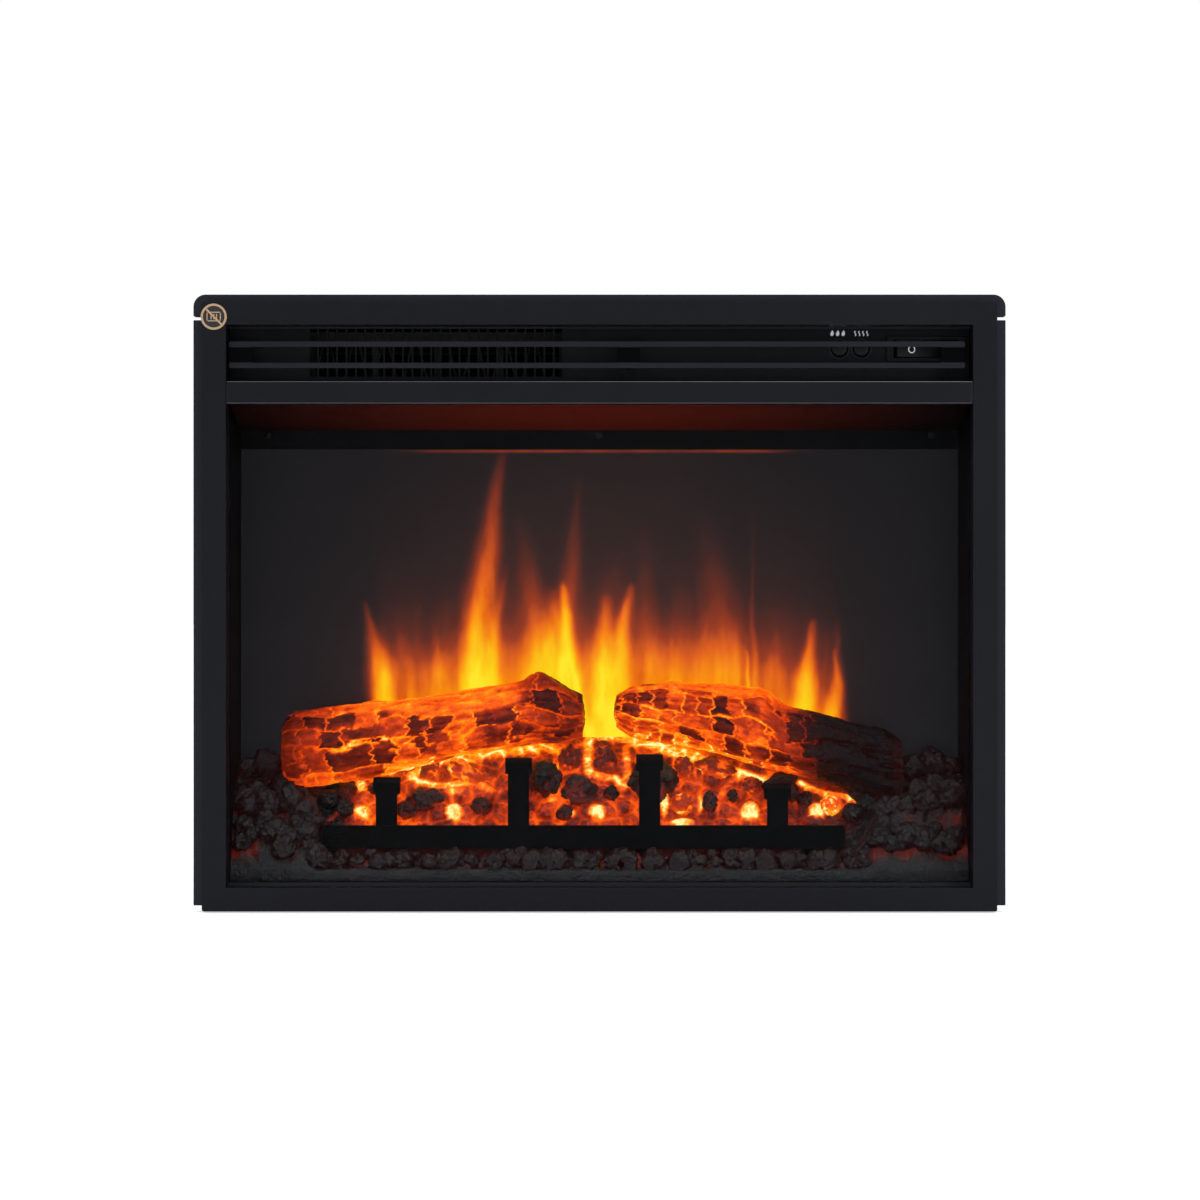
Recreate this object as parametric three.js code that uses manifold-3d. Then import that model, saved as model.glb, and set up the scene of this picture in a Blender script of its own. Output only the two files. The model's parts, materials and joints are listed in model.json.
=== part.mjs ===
// Electric fireplace insert: a steel casing behind a framed window, with a grille of controls
// and a fan heater above, and logs, an ember bed, a flame screen and a flicker rod inside.
// Millimetres. The front faces -Y, +X is to the right and the feet stand on Z = 0.
import * as THREE from "three";
import { mergeVertices } from "three/addons/utils/BufferGeometryUtils.js";
import Module from "manifold-3d";

const wasm = await Module();
wasm.setup();

// ---------------------------------------------------------------- driving dimensions
const gap = 0.3; // between pieces that touch
const sheet = 1.2; // casing and firebox steel

// Front frame
const frameWidth = 646;
const frameHeight = 495;
const sideRail = 19.5;
const topRail = 18.4;
const bottomRail = 19.1;
const frameDepth = 20;
const frameSkin = 1.5;
const frameCorner = 2;
const recessHeight = 45.9; // opening for the grille and the controls
const browHeight = 18.2; // rail between the recess and the window
const browSetback = 0.8;

// Trims that cover the edge of the mantel opening
const trimOverhang = 8;
const trimRise = 7;
const trimSetback = 10;
const trimSheet = 1.5;
const trimCorner = 10;
const trimBreak = 3.2; // gap between the top trim and a side trim
const trimFootGap = 4; // side trim's lower end above the frame's lower edge

// Casing
const casingInset = 13; // casing side inside the frame side
const casingTopDrop = 11; // casing top below the frame top
const casingLift = 4; // casing bottom above the frame's lower edge
const rearSpace = 78; // from the flame screen's back to the back panel's outer face
const panLip = 9;
const ventCount = 14;
const ventPitch = 16;
const ventWidth = 6;
const ventFromSide = 60;
const ventBand = [20, 60]; // vents' ends in front of the back panel
const intakeCount = 20; // air slots in the back panel behind the heater
const intakeWidth = 5;
const intakeMargin = 12; // from the heater housing's top and bottom
const coolingCount = 16; // air slots low in the back panel
const coolingPitch = 12;
const coolingFromSide = 60;
const coolingBand = [20, 50]; // above the casing's bottom
const footRadius = 9;
const footInset = 36;
const footDrop = 1.5; // feet reach below the frame
const glandReach = 10; // gland outside the back panel
const glandInside = 8; // gland inside the back panel
const glandRadius = 8;
const glandWall = 3.5;
const glandCollar = 3; // collar and nut beyond the stem
const glandHeight = 110;
const glandFromSide = 130;
const terminalSize = [36, 18, 18]; // terminal block in x, y, z
const terminalDrop = 30; // its lower face below the gland's axis
const terminalPitch = 8;

// Window
const glassThickness = 4;
const glassSetback = 21.5;
const glassLap = 3.5; // glass behind each edge of the opening
const gasketWall = 1;
const gasketHeight = 8;
const clipHeight = 40;
const clipSheet = 1.5;

// Control panel and grille
const fasciaSetback = 27;
const fasciaSheet = 1.5;
const slotCount = 27;
const slotPitch = 7.73;
const slotRib = 1.6;
const slotHeight = 41.4;
const slotLift = 5.6; // slot's lower end above the recess's lower edge
const slotFromSide = 65; // first slot from the left edge of the recess
const barHeight = 4.3;
const barDepth = 4;
const barSetback = 6;
const barSpacing = 17.4;
const lowerBarLift = 11; // lower bar above the recess's lower edge
const barLeftGap = 1.8;
const barRightGap = 6;
const tabWidth = 19.2;
const middleTabOffset = 23.5;
const tabLegWidth = 8;

// Push keys
const keyFromSide = [106.8, 88.8]; // from the right edge of the recess
const keyHoleRadius = 7.2;
const keyClearance = 1;
const keyLift = 28.2; // above the recess's lower edge
const keyProud = 2;
const keyLength = 19;
const keyTravel = 1.2;
const switchSize = 6;
const plungerRadius = 1.8;
const boardMargin = [17, 19]; // circuit board beyond the keys' axes, sideways and upwards
const boardSheet = 1.6;
const relaySize = [20, 17, 15];
const capacitorRadius = 5;
const capacitorLength = 18;

// Rocker switch
const rockerFromSide = 35.8;
const rockerWidth = 52;
const rockerHeight = 14;
const rockerTilt = (8 * Math.PI) / 180;
const rockerClearance = 0.4;
const rockerPivotDepth = 2; // behind the fascia's front face
const bezelWidth = 64;
const bezelHeight = 20.5;
const bezelProud = 2.3;
const bezelDepth = 18;
const bezelWall = 1.6;
const rockerValley = 3; // rocker's ridge in front of the pivot
const rockerTail = [8, 9]; // half width and reach of the lever behind the pivot
const trunnionRadius = 1.5;
const runningClearance = 0.08;

// Heater
const housingHeight = 62;
const housingDepth = 92;
const housingMargin = 6; // housing beyond the slots on each side
const impellerRadius = 21;
const impellerBehindFascia = 67;
const impellerEndGap = 12; // drum's ends inside the housing
const impellerDisc = 2;
const bladeCount = 12;
const bladeChord = 6.4;
const bladeSheet = 1;
const bladeTurn = 0.5;
const shaftRadius = 3;
const bearingSize = 18;
const bearingLength = 10;
const motorRadius = 19;
const motorLength = 38;
const elementSetback = 26; // mica frame behind the housing's front edge
const elementSheet = 1.5;
const elementBorder = 6;
const elementWindows = 4;
const coilTurns = 8;
const coilWire = 1.1;
const coilAmplitude = 19;
const cutoutRadius = 8;
const cutoutDepth = 7;

// Firebox
const fireboxDepth = 81.5; // from behind the glass to the flame screen
const screenThickness = 3;
const screenStripDrop = 50.3; // strip's lower edge below the recess's lower edge
const screenStripHeight = 16;
const soffitDrop = 17; // how far the soffit falls towards the back
const screwFromSide = 23;
const screwRadius = 2.8;
const screwHead = 1.8;
const screwShank = 1.4;
const screwHole = 1.8;
const screwDrop = 4; // screws below the screen's upper edge
const reflectorBehindScreen = 14;
const flameHoles = 7;
const rodBehindScreen = 40;
const rodHeight = 48;
const rodRadius = 3;
const flagCount = 10;
const flagRadius = 18;
const flickerMotorRadius = 24;
const flickerMotorLength = 22;
const flameLedCount = 16;
const emberLedCount = 12;
const ledSize = 5;

// Fuel bed
const bedLip = 9.5;
const bedThickness = 3.5;
const coalHeight = 45; // front row of coals above the frame's lower edge
const leftLogMargin = 40; // outer end of a log from the firebox wall
const rightLogMargin = 52;
const logMiddleGap = 14; // inner end of a log from the centre
const logBehindGlass = 46.5; // log axis behind the glass
const leftLog = { outerHeight: 130.7, innerHeight: 161, outerRadius: 30, innerRadius: 24 };
const rightLog = { outerHeight: 113, innerHeight: 162, outerRadius: 27, innerRadius: 23 };
const grateSpan = [-228.5, 203];
const grateBarHeight = 19;
const grateBarDepth = 7;
const grateBarLift = 47.5;
const gratePosts = [-176.2, -67, 41.4, 147.3];
const gratePostWidth = 17.5;
const grateHeadWidth = 22;
const grateHeadHeight = 13;
const postToLog = 3.5;

// ---------------------------------------------------------------- derived places
const screenSetback = glassSetback + glassThickness + 2 + fireboxDepth;
const casingDepth = screenSetback + screenThickness + rearSpace;
const overallDepth = casingDepth + glandReach;
const front = -overallDepth / 2;
const depth = (fromFront) => front + fromFront; // Y of a plane behind the frame's front face
const height = (aboveFrame) => footDrop + aboveFrame; // Z above the frame's lower edge

const openingHalf = frameWidth / 2 - sideRail;
const recessTop = frameHeight - topRail;
const recessBottom = recessTop - recessHeight;
const windowTop = recessBottom - browHeight;
const casingHalf = frameWidth / 2 - casingInset;
const casingFront = frameDepth + gap + trimSheet + gap;
const casingTop = frameHeight - casingTopDrop;
const backInner = casingDepth - sheet;
const floorTop = bottomRail + 2.6;
const fireboxFront = glassSetback + glassThickness + 2;
const soffitFront = windowTop + 1;
const soffitBack = soffitFront - soffitDrop;
const screenTop = recessBottom - screenStripDrop + screenStripHeight;
const fasciaBottom = recessBottom - 2.5;
const fasciaTop = recessTop + 3;
const fasciaBack = fasciaSetback + fasciaSheet;
const slotsLeft = -openingHalf + slotFromSide;
const slotsRight = slotsLeft + slotCount * slotPitch;
const lowerBar = recessBottom + lowerBarLift;
const upperBar = lowerBar + barSpacing;
const keyHeight = recessBottom + keyLift;
const rockerX = openingHalf - rockerFromSide;
const logDepth = glassSetback + glassThickness + logBehindGlass;
const housingBottom = recessBottom - 11.5;
const impellerDepth = fasciaBack + impellerBehindFascia;
const impellerHeight = housingBottom + housingHeight / 2;
const rodDepth = screenSetback + screenThickness + rodBehindScreen;

// ---------------------------------------------------------------- finishes
const finish = (color, roughness, metalness = 0) =>
  new THREE.MeshStandardMaterial({ color, roughness, metalness });
const blackSteel = finish(0x1b1f24, 0.45, 0.4);
const innerSteel = finish(0x121314, 0.7, 0.2);
const zincSteel = finish(0x9a9ea2, 0.4, 0.9);
const grillePaint = finish(0x2a2e34, 0.4, 0.4);
const blackPlastic = finish(0x101113, 0.5);
const rubber = finish(0x0b0b0b, 0.9);
const glass = finish(0x20242a, 0.05);
const smokedAcrylic = finish(0x2a292b, 0.35);
const polished = finish(0xc8ccd0, 0.15, 1);
const board = finish(0x1d4a2a, 0.6);
const mica = finish(0xb9a67c, 0.6);
const nichrome = finish(0x8c8f93, 0.4, 0.9);
const emberResin = finish(0xff7a1e, 0.6);
const logResin = finish(0xa8441a, 0.75);
const gratePaint = finish(0x0c0c0d, 0.8);
const creamPlastic = finish(0xd8d4c8, 0.6);

// ---------------------------------------------------------------- building blocks
const outline = (points) => new THREE.Shape(points.map(([u, v]) => new THREE.Vector2(u, v)));

function rectangle(u0, u1, v0, v1, radius = 0) {
  if (radius === 0) {
    return outline([[u0, v0], [u1, v0], [u1, v1], [u0, v1]]);
  }
  const shape = new THREE.Shape();
  shape.moveTo(u0 + radius, v0);
  shape.absarc(u1 - radius, v0 + radius, radius, -Math.PI / 2, 0);
  shape.absarc(u1 - radius, v1 - radius, radius, 0, Math.PI / 2);
  shape.absarc(u0 + radius, v1 - radius, radius, Math.PI / 2, Math.PI);
  shape.absarc(u0 + radius, v0 + radius, radius, Math.PI, 1.5 * Math.PI);
  return shape;
}

const extrude = (shape, length) =>
  new THREE.ExtrudeGeometry(shape, { depth: length, bevelEnabled: false, curveSegments: 6 });

// A shape drawn in front view (x, z), between two depths.
function frontPlate(shape, y0, y1) {
  return extrude(shape, y1 - y0).rotateX(Math.PI / 2).translate(0, y1, 0);
}

// A section drawn in side view (y, z), between two x.
function acrossX(shape, x0, x1) {
  const turn = new THREE.Matrix4().makeBasis(
    new THREE.Vector3(0, 1, 0),
    new THREE.Vector3(0, 0, 1),
    new THREE.Vector3(1, 0, 0),
  );
  return extrude(shape, x1 - x0).applyMatrix4(turn).translate(x0, 0, 0);
}

// A section drawn in plan (x, y), between two heights.
const upZ = (shape, z0, z1) => extrude(shape, z1 - z0).translate(0, 0, z0);

function block(x0, x1, y0, y1, z0, z1) {
  return new THREE.BoxGeometry(x1 - x0, y1 - y0, z1 - z0).translate(
    (x0 + x1) / 2,
    (y0 + y1) / 2,
    (z0 + z1) / 2,
  );
}

// A round bar along x, y or z; a and b are its place on the other two axes.
function roundBar(axis, radius, from, to, a = 0, b = 0, sides = 24) {
  const bar = new THREE.CylinderGeometry(radius, radius, to - from, sides);
  const middle = (from + to) / 2;
  if (axis === "x") {
    return bar.rotateZ(Math.PI / 2).translate(middle, a, b);
  }
  if (axis === "y") {
    return bar.translate(a, middle, b);
  }
  return bar.rotateX(Math.PI / 2).translate(a, b, middle);
}

function solid(geometry) {
  const bare = geometry.index ? geometry.toNonIndexed() : geometry.clone();
  bare.deleteAttribute("normal");
  bare.deleteAttribute("uv");
  const merged = mergeVertices(bare, 1e-4);
  const mesh = new wasm.Mesh({
    numProp: 3,
    vertProperties: merged.attributes.position.array,
    triVerts: new Uint32Array(merged.index.array),
  });
  return new wasm.Manifold(mesh);
}

function geometryOf(manifold) {
  const mesh = manifold.getMesh();
  const geometry = new THREE.BufferGeometry();
  geometry.setAttribute("position", new THREE.BufferAttribute(mesh.vertProperties, 3));
  geometry.setIndex(new THREE.BufferAttribute(mesh.triVerts, 1));
  geometry.computeVertexNormals();
  return geometry;
}

const join = (...pieces) => geometryOf(pieces.map(solid).reduce((a, b) => a.add(b)));

const cut = (body, ...tools) =>
  geometryOf(tools.map(solid).reduce((a, b) => a.subtract(b), solid(body)));

const insert = new THREE.Group();

function add(name, geometry, material) {
  const mesh = new THREE.Mesh(geometry, material);
  mesh.name = name;
  insert.add(mesh);
  return mesh;
}

// A row of upright slots between x0 and x1, as tools that cut along Y.
function slotTools(count, x0, pitch, width, y0, y1, z0, z1) {
  return Array.from({ length: count }, (_, i) =>
    block(x0 + i * pitch, x0 + i * pitch + width, y0, y1, z0, z1),
  );
}

// ---------------------------------------------------------------- front frame and trims
function addFrontFrame() {
  const half = frameWidth / 2;
  const bottom = height(0);
  const top = height(frameHeight);
  const face = rectangle(-half, half, bottom, top, frameCorner);
  const opening = [-openingHalf, openingHalf, height(bottomRail), height(recessTop)];
  face.holes.push(rectangle(...opening));
  const channel = rectangle(-half + frameSkin, half - frameSkin, bottom + frameSkin, top - frameSkin);
  channel.holes.push(
    rectangle(
      opening[0] - frameSkin,
      opening[1] + frameSkin,
      opening[2] - frameSkin,
      opening[3] + frameSkin,
    ),
  );
  const body = frontPlate(face, depth(0), depth(frameDepth));
  const hollow = frontPlate(channel, depth(frameSkin), depth(frameDepth + 1));
  add("front_frame", cut(body, hollow), blackSteel);
}

function addBrowRail() {
  const z0 = height(windowTop);
  const z1 = height(recessBottom);
  const y0 = depth(browSetback);
  const y1 = depth(frameDepth);
  const section = outline([
    [y0, z0],
    [y1, z0],
    [y1, z0 + frameSkin],
    [y0 + frameSkin, z0 + frameSkin],
    [y0 + frameSkin, z1 - frameSkin],
    [y1, z1 - frameSkin],
    [y1, z1],
    [y0, z1],
  ]);
  add("brow_rail", acrossX(section, -openingHalf + gap, openingHalf - gap), blackSteel);
}

function addTopTrim() {
  const half = frameWidth / 2 + trimOverhang;
  const top = height(frameHeight + trimRise);
  const bottom = height(casingTop) + gap;
  const y0 = depth(trimSetback);
  const flangeFront = depth(frameDepth + gap);
  const flangeBack = flangeFront + trimSheet;
  const cap = (inset, lower) => {
    const radius = trimCorner - inset;
    const shape = new THREE.Shape();
    shape.moveTo(-half + inset, lower);
    shape.lineTo(half - inset, lower);
    shape.absarc(half - inset - radius, top - inset - radius, radius, 0, Math.PI / 2);
    shape.absarc(-half + inset + radius, top - inset - radius, radius, Math.PI / 2, Math.PI);
    return shape;
  };
  const body = frontPlate(cap(0, bottom), y0, flangeBack);
  const hollow = frontPlate(cap(trimSheet, bottom - 5), y0 + trimSheet, flangeFront);
  const frameHalf = frameWidth / 2 + gap;
  const frameTop = height(frameHeight) + gap;
  const passage = block(-frameHalf, frameHalf, y0 - 1, flangeFront, bottom - 5, frameTop);
  add("top_trim", cut(body, hollow, passage), blackSteel);
}

function addSideTrims() {
  const inner = frameWidth / 2 + gap;
  const outer = frameWidth / 2 + trimOverhang;
  const flangeInner = casingHalf + gap;
  const y0 = depth(trimSetback);
  const y1 = depth(frameDepth + gap);
  const y2 = y1 + trimSheet;
  const z0 = height(trimFootGap);
  const z1 = height(casingTop) + gap - trimBreak;
  const section = outline([
    [inner, y0],
    [outer, y0],
    [outer, y2],
    [flangeInner, y2],
    [flangeInner, y1],
    [outer - trimSheet, y1],
    [outer - trimSheet, y0 + trimSheet],
    [inner, y0 + trimSheet],
  ]);
  add("right_trim", upZ(section, z0, z1), blackSteel);
  const mirrored = outline(
    section.getPoints().slice().reverse().map((p) => [-p.x, p.y]),
  );
  add("left_trim", upZ(mirrored, z0, z1), blackSteel);
}

// ---------------------------------------------------------------- casing
// A shallow tray lying between the side panels, open upwards or downwards.
function tray(z0, z1, openUp) {
  const half = casingHalf - sheet - gap;
  const y0 = depth(casingFront);
  const y1 = depth(backInner) - gap;
  const shell = block(-half, half, y0, y1, z0, z1);
  const inside = block(
    -half + sheet,
    half - sheet,
    y0 + sheet,
    y1 - sheet,
    openUp ? z0 + sheet : z0 - 1,
    openUp ? z1 + 1 : z1 - sheet,
  );
  return cut(shell, inside);
}

function addCasing() {
  const z0 = height(casingLift);
  const z1 = height(casingTop);
  const y0 = depth(casingFront);
  const y1 = depth(backInner) - gap;
  add("base_pan", tray(z0, z0 + panLip, true), innerSteel);

  const vents = Array.from({ length: ventCount }, (_, i) => {
    const x = casingHalf - ventFromSide - i * ventPitch;
    return block(x, x + ventWidth, y1 - ventBand[1], y1 - ventBand[0], z1 - 5, z1 + 1);
  });
  add("top_panel", cut(tray(z1 - panLip, z1, false), ...vents), innerSteel);

  for (const [name, side] of [["left_side_panel", -1], ["right_side_panel", 1]]) {
    const edges = [side * casingHalf, side * (casingHalf - sheet)].sort((a, b) => a - b);
    add(name, block(edges[0], edges[1], y0, y1, z0, z1), innerSteel);
  }

  const back = block(-casingHalf, casingHalf, depth(backInner), depth(casingDepth), z0, z1);
  const intake = slotTools(
    intakeCount,
    slotsLeft,
    (slotsRight - slotsLeft) / intakeCount,
    intakeWidth,
    depth(backInner) - 1,
    depth(casingDepth) + 1,
    height(housingBottom + intakeMargin),
    height(housingBottom + housingHeight - intakeMargin),
  );
  const cooling = slotTools(
    coolingCount,
    -casingHalf + coolingFromSide,
    coolingPitch,
    intakeWidth,
    depth(backInner) - 1,
    depth(casingDepth) + 1,
    z0 + coolingBand[0],
    z0 + coolingBand[1],
  );
  const glandHole = roundBar(
    "y",
    glandRadius + gap,
    depth(backInner) - 1,
    depth(casingDepth) + 1,
    casingHalf - glandFromSide,
    height(glandHeight),
  );
  add("back_panel", cut(back, ...intake, ...cooling, glandHole), innerSteel);

  const footX = casingHalf - footInset;
  const feet = [
    ["foot_front_left", -footX, casingFront + footInset / 2],
    ["foot_front_right", footX, casingFront + footInset / 2],
    ["foot_rear_left", -footX, casingDepth - footInset],
    ["foot_rear_right", footX, casingDepth - footInset],
  ];
  for (const [name, x, fromFront] of feet) {
    const foot = new THREE.CylinderGeometry(footRadius, footRadius - 1, z0 - gap, 24);
    add(name, foot.rotateX(Math.PI / 2), rubber).position.set(x, depth(fromFront), (z0 - gap) / 2);
  }
}

function addMainsInlet() {
  const x = casingHalf - glandFromSide;
  const z = height(glandHeight);
  const inner = depth(backInner - glandInside);
  const outer = depth(casingDepth + glandReach);
  const collarRadius = glandRadius + glandCollar;
  const stem = roundBar("y", glandRadius, inner, outer, x, z);
  const collar = roundBar("y", collarRadius, depth(casingDepth) + gap, depth(casingDepth) + 5, x, z);
  const nut = roundBar("y", collarRadius, inner + 2, depth(backInner) - gap, x, z, 6);
  const bore = roundBar("y", glandRadius - glandWall, inner - 1, outer + 1, x, z);
  add("cable_gland", cut(join(stem, collar, nut), bore), blackPlastic);

  const [wide, deep, tall] = terminalSize;
  const y1 = inner - 8;
  const z0 = z - terminalDrop;
  const terminals = block(x - wide / 2, x + wide / 2, y1 - deep, y1, z0, z0 + tall);
  const wireHoles = [-1.5, -0.5, 0.5, 1.5].map((place) =>
    roundBar("z", 2, z0 - 1, z0 + tall + 1, x + place * terminalPitch, y1 - deep / 2, 12),
  );
  add("terminal_block", cut(terminals, ...wireHoles), creamPlastic);
}

// ---------------------------------------------------------------- window
function addWindow() {
  const half = openingHalf + glassLap;
  const z0 = height(bottomRail - glassLap);
  const z1 = height(windowTop + glassLap + 2);
  const y0 = depth(glassSetback);
  const y1 = y0 + glassThickness;
  add("front_glass", block(-half, half, y0, y1, z0, z1), glass);

  const outerFront = y0 - gap - gasketWall;
  const outerBack = y1 + gap + gasketWall;
  const gasket = outline([
    [outerFront, z0 - gap - gasketWall],
    [outerBack, z0 - gap - gasketWall],
    [outerBack, z0 + gasketHeight - 2],
    [y1 + gap, z0 + gasketHeight - 2],
    [y1 + gap, z0 - gap],
    [y0 - gap, z0 - gap],
    [y0 - gap, z0 + gasketHeight - 2],
    [outerFront, z0 + gasketHeight - 2],
  ]);
  add("glass_gasket", acrossX(gasket, -half, half), rubber);

  const clipMiddle = (z0 + z1) / 2;
  for (const [name, side] of [["left_glass_clip", -1], ["right_glass_clip", 1]]) {
    const inner = side * (openingHalf + 1.6);
    const outer = side * (half + gap + 1);
    const plan = [
      [inner, y1 + gap],
      [outer, y1 + gap],
      [outer, y1 + gap + clipSheet],
      [inner, y1 + gap + clipSheet],
    ];
    const ordered = side > 0 ? plan : plan.slice().reverse();
    const clip = upZ(outline(ordered), clipMiddle - clipHeight / 2, clipMiddle + clipHeight / 2);
    add(name, clip, zincSteel);
  }
}

// ---------------------------------------------------------------- controls
function addFascia() {
  const y0 = depth(fasciaSetback);
  const y1 = depth(fasciaBack);
  const z0 = height(fasciaBottom);
  const z1 = height(fasciaTop);
  const plate = block(-openingHalf + gap, openingHalf - gap, y0, y1, z0, z1);
  const slotBottom = height(recessBottom + slotLift);
  const slots = slotTools(
    slotCount,
    slotsLeft + slotRib / 2,
    slotPitch,
    slotPitch - slotRib,
    y0 - 1,
    y1 + 1,
    slotBottom,
    slotBottom + slotHeight,
  );
  const keyHoles = keyFromSide.map((fromSide) =>
    roundBar("y", keyHoleRadius, y0 - 1, y1 + 1, openingHalf - fromSide, height(keyHeight), 32),
  );
  const bodyHalf = bezelBodyHalf();
  const switchHole = block(
    rockerX - bodyHalf.x - gap,
    rockerX + bodyHalf.x + gap,
    y0 - 1,
    y1 + 1,
    height(keyHeight) - bodyHalf.z - gap,
    height(keyHeight) + bodyHalf.z + gap,
  );
  add("control_fascia", cut(plate, ...slots, ...keyHoles, switchHole), innerSteel);
}

function addGrille() {
  const x0 = -openingHalf + barLeftGap;
  const x1 = openingHalf - barRightGap;
  const y0 = depth(barSetback);
  const y1 = y0 + barDepth;
  const legEnd = depth(fasciaSetback) - gap;
  const bars = [lowerBar, upperBar].map((z) =>
    frontPlate(rectangle(x0, x1, height(z), height(z) + barHeight, barHeight * 0.45), y0, y1),
  );
  const middle = middleTabOffset;
  const tabs = [x0, middle - tabWidth / 2, x1 - tabWidth].map((x) =>
    block(x, x + tabWidth, y0 + 1.5, y1 - 0.5, height(lowerBar) + 1, height(upperBar) + 1),
  );
  const leg = (x, z) =>
    block(x, x + tabLegWidth, y1 - 1, legEnd, height(z) + 0.5, height(z) + barHeight - 0.5);
  const legs = [
    leg(x0 + 4, lowerBar),
    leg(x0 + 4, upperBar),
    leg(middle - tabLegWidth / 2, lowerBar),
    leg(middle - tabLegWidth / 2, upperBar),
    leg(x1 - 4 - tabLegWidth, lowerBar),
  ];
  add("louvre_grille", join(...bars, ...tabs, ...legs), grillePaint);
}

// Closed turned piece about Y; points are [radius, y] from the front of the axis to its back.
function turned(points, sides) {
  return new THREE.LatheGeometry(points.map(([r, y]) => new THREE.Vector2(r, y)), sides);
}

function addKeys() {
  const radius = keyHoleRadius - keyClearance;
  const flange = keyHoleRadius + 1.4;
  const flangeFront = keyProud + fasciaSheet + gap + keyTravel * 0.2;
  const profile = [
    [0, 0],
    [radius * 0.55, 0.15],
    [radius - 0.6, 0.6],
    [radius, 1.4],
    [radius, flangeFront],
    [flange, flangeFront],
    [flange, flangeFront + 1.5],
    [2.5, flangeFront + 1.5],
    [2.5, keyLength],
    [0, keyLength],
  ];
  const names = ["flame_key", "heater_key"];
  const x = keyFromSide.map((fromSide) => openingHalf - fromSide);
  const keyFront = depth(fasciaSetback - keyProud);
  names.forEach((name, i) => {
    add(name, turned(profile, 32), blackPlastic).position.set(x[i], keyFront, height(keyHeight));
  });

  const plungerFront = keyFront + keyLength + keyTravel + 0.2;
  const boardFront = plungerFront + 2.6;
  ["flame_tact_switch", "heater_tact_switch"].forEach((name, i) => {
    const z = height(keyHeight);
    const body = block(
      x[i] - switchSize / 2,
      x[i] + switchSize / 2,
      plungerFront + 0.8,
      boardFront - gap,
      z - switchSize / 2,
      z + switchSize / 2,
    );
    const plunger = roundBar("y", plungerRadius, plungerFront, plungerFront + 1, x[i], z, 16);
    add(name, join(body, plunger), zincSteel);
  });

  const keyZ = height(keyHeight);
  const [sideways, upwards] = boardMargin;
  const pcb = block(
    x[0] - sideways,
    x[1] + sideways,
    boardFront,
    boardFront + boardSheet,
    keyZ - upwards,
    keyZ + upwards,
  );
  const onBoard = boardFront + boardSheet - 0.1;
  const [wide, deep, tall] = relaySize;
  const relay = block(x[0] + 8 - wide, x[0] + 8, onBoard, boardFront + deep, keyZ - tall, keyZ);
  const capacitorEnd = boardFront + capacitorLength;
  const capacitor = roundBar("y", capacitorRadius, onBoard, capacitorEnd, x[1] + 4, keyZ + 9, 20);
  add("control_board", join(pcb, relay, capacitor), board);
}

function bezelBodyHalf() {
  return {
    x: rockerWidth / 2 + rockerClearance + bezelWall,
    z: rockerHeight / 2 + rockerClearance + bezelWall,
  };
}

function addRockerSwitch() {
  const z = height(keyHeight);
  const pivotY = depth(fasciaSetback + rockerPivotDepth);
  const half = rockerWidth / 2;
  const body = bezelBodyHalf();
  const y0 = depth(fasciaSetback - bezelProud);
  const y1 = depth(fasciaSetback) - gap;
  const y2 = depth(fasciaSetback + bezelDepth);
  const flange = block(
    rockerX - bezelWidth / 2,
    rockerX + bezelWidth / 2,
    y0,
    y1,
    z - bezelHeight / 2,
    z + bezelHeight / 2,
  );
  const housing = block(rockerX - body.x, rockerX + body.x, y0 + 1, y2, z - body.z, z + body.z);
  const pocketX = half + rockerClearance;
  const pocketZ = rockerHeight / 2 + rockerClearance;
  const pocket = block(rockerX - pocketX, rockerX + pocketX, y0 - 1, y2 - 2, z - pocketZ, z + pocketZ);
  const bore = roundBar(
    "z",
    trunnionRadius + runningClearance,
    z - body.z - 1,
    z + body.z + 1,
    rockerX,
    pivotY,
    24,
  );
  add("switch_bezel", cut(join(flange, housing), pocket, bore), blackPlastic);

  // Plan section about the pivot: a shallow V in front, ends that are arcs about the pivot.
  const tipAngle = Math.asin((rockerValley + half * Math.tan(rockerTilt)) / half);
  const backAngle = 0.17;
  const [tailHalf, tailReach] = rockerTail;
  const plan = new THREE.Shape();
  plan.moveTo(0, -rockerValley);
  plan.lineTo(half * Math.cos(tipAngle), -half * Math.sin(tipAngle));
  plan.absarc(0, 0, half, -tipAngle, backAngle);
  plan.lineTo(tailHalf, tailReach);
  plan.lineTo(-tailHalf, tailReach);
  plan.absarc(0, 0, half, Math.PI - backAngle, Math.PI + tipAngle);
  plan.closePath();
  const paddle = upZ(plan, -rockerHeight / 2, rockerHeight / 2);
  const trunnion = roundBar("z", trunnionRadius, -body.z + gap, body.z - gap, 0, 0, 24);
  const rocker = add("power_rocker", join(paddle, trunnion), blackPlastic);
  rocker.rotation.z = rockerTilt;
  rocker.position.set(rockerX, pivotY, z);
}

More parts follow.
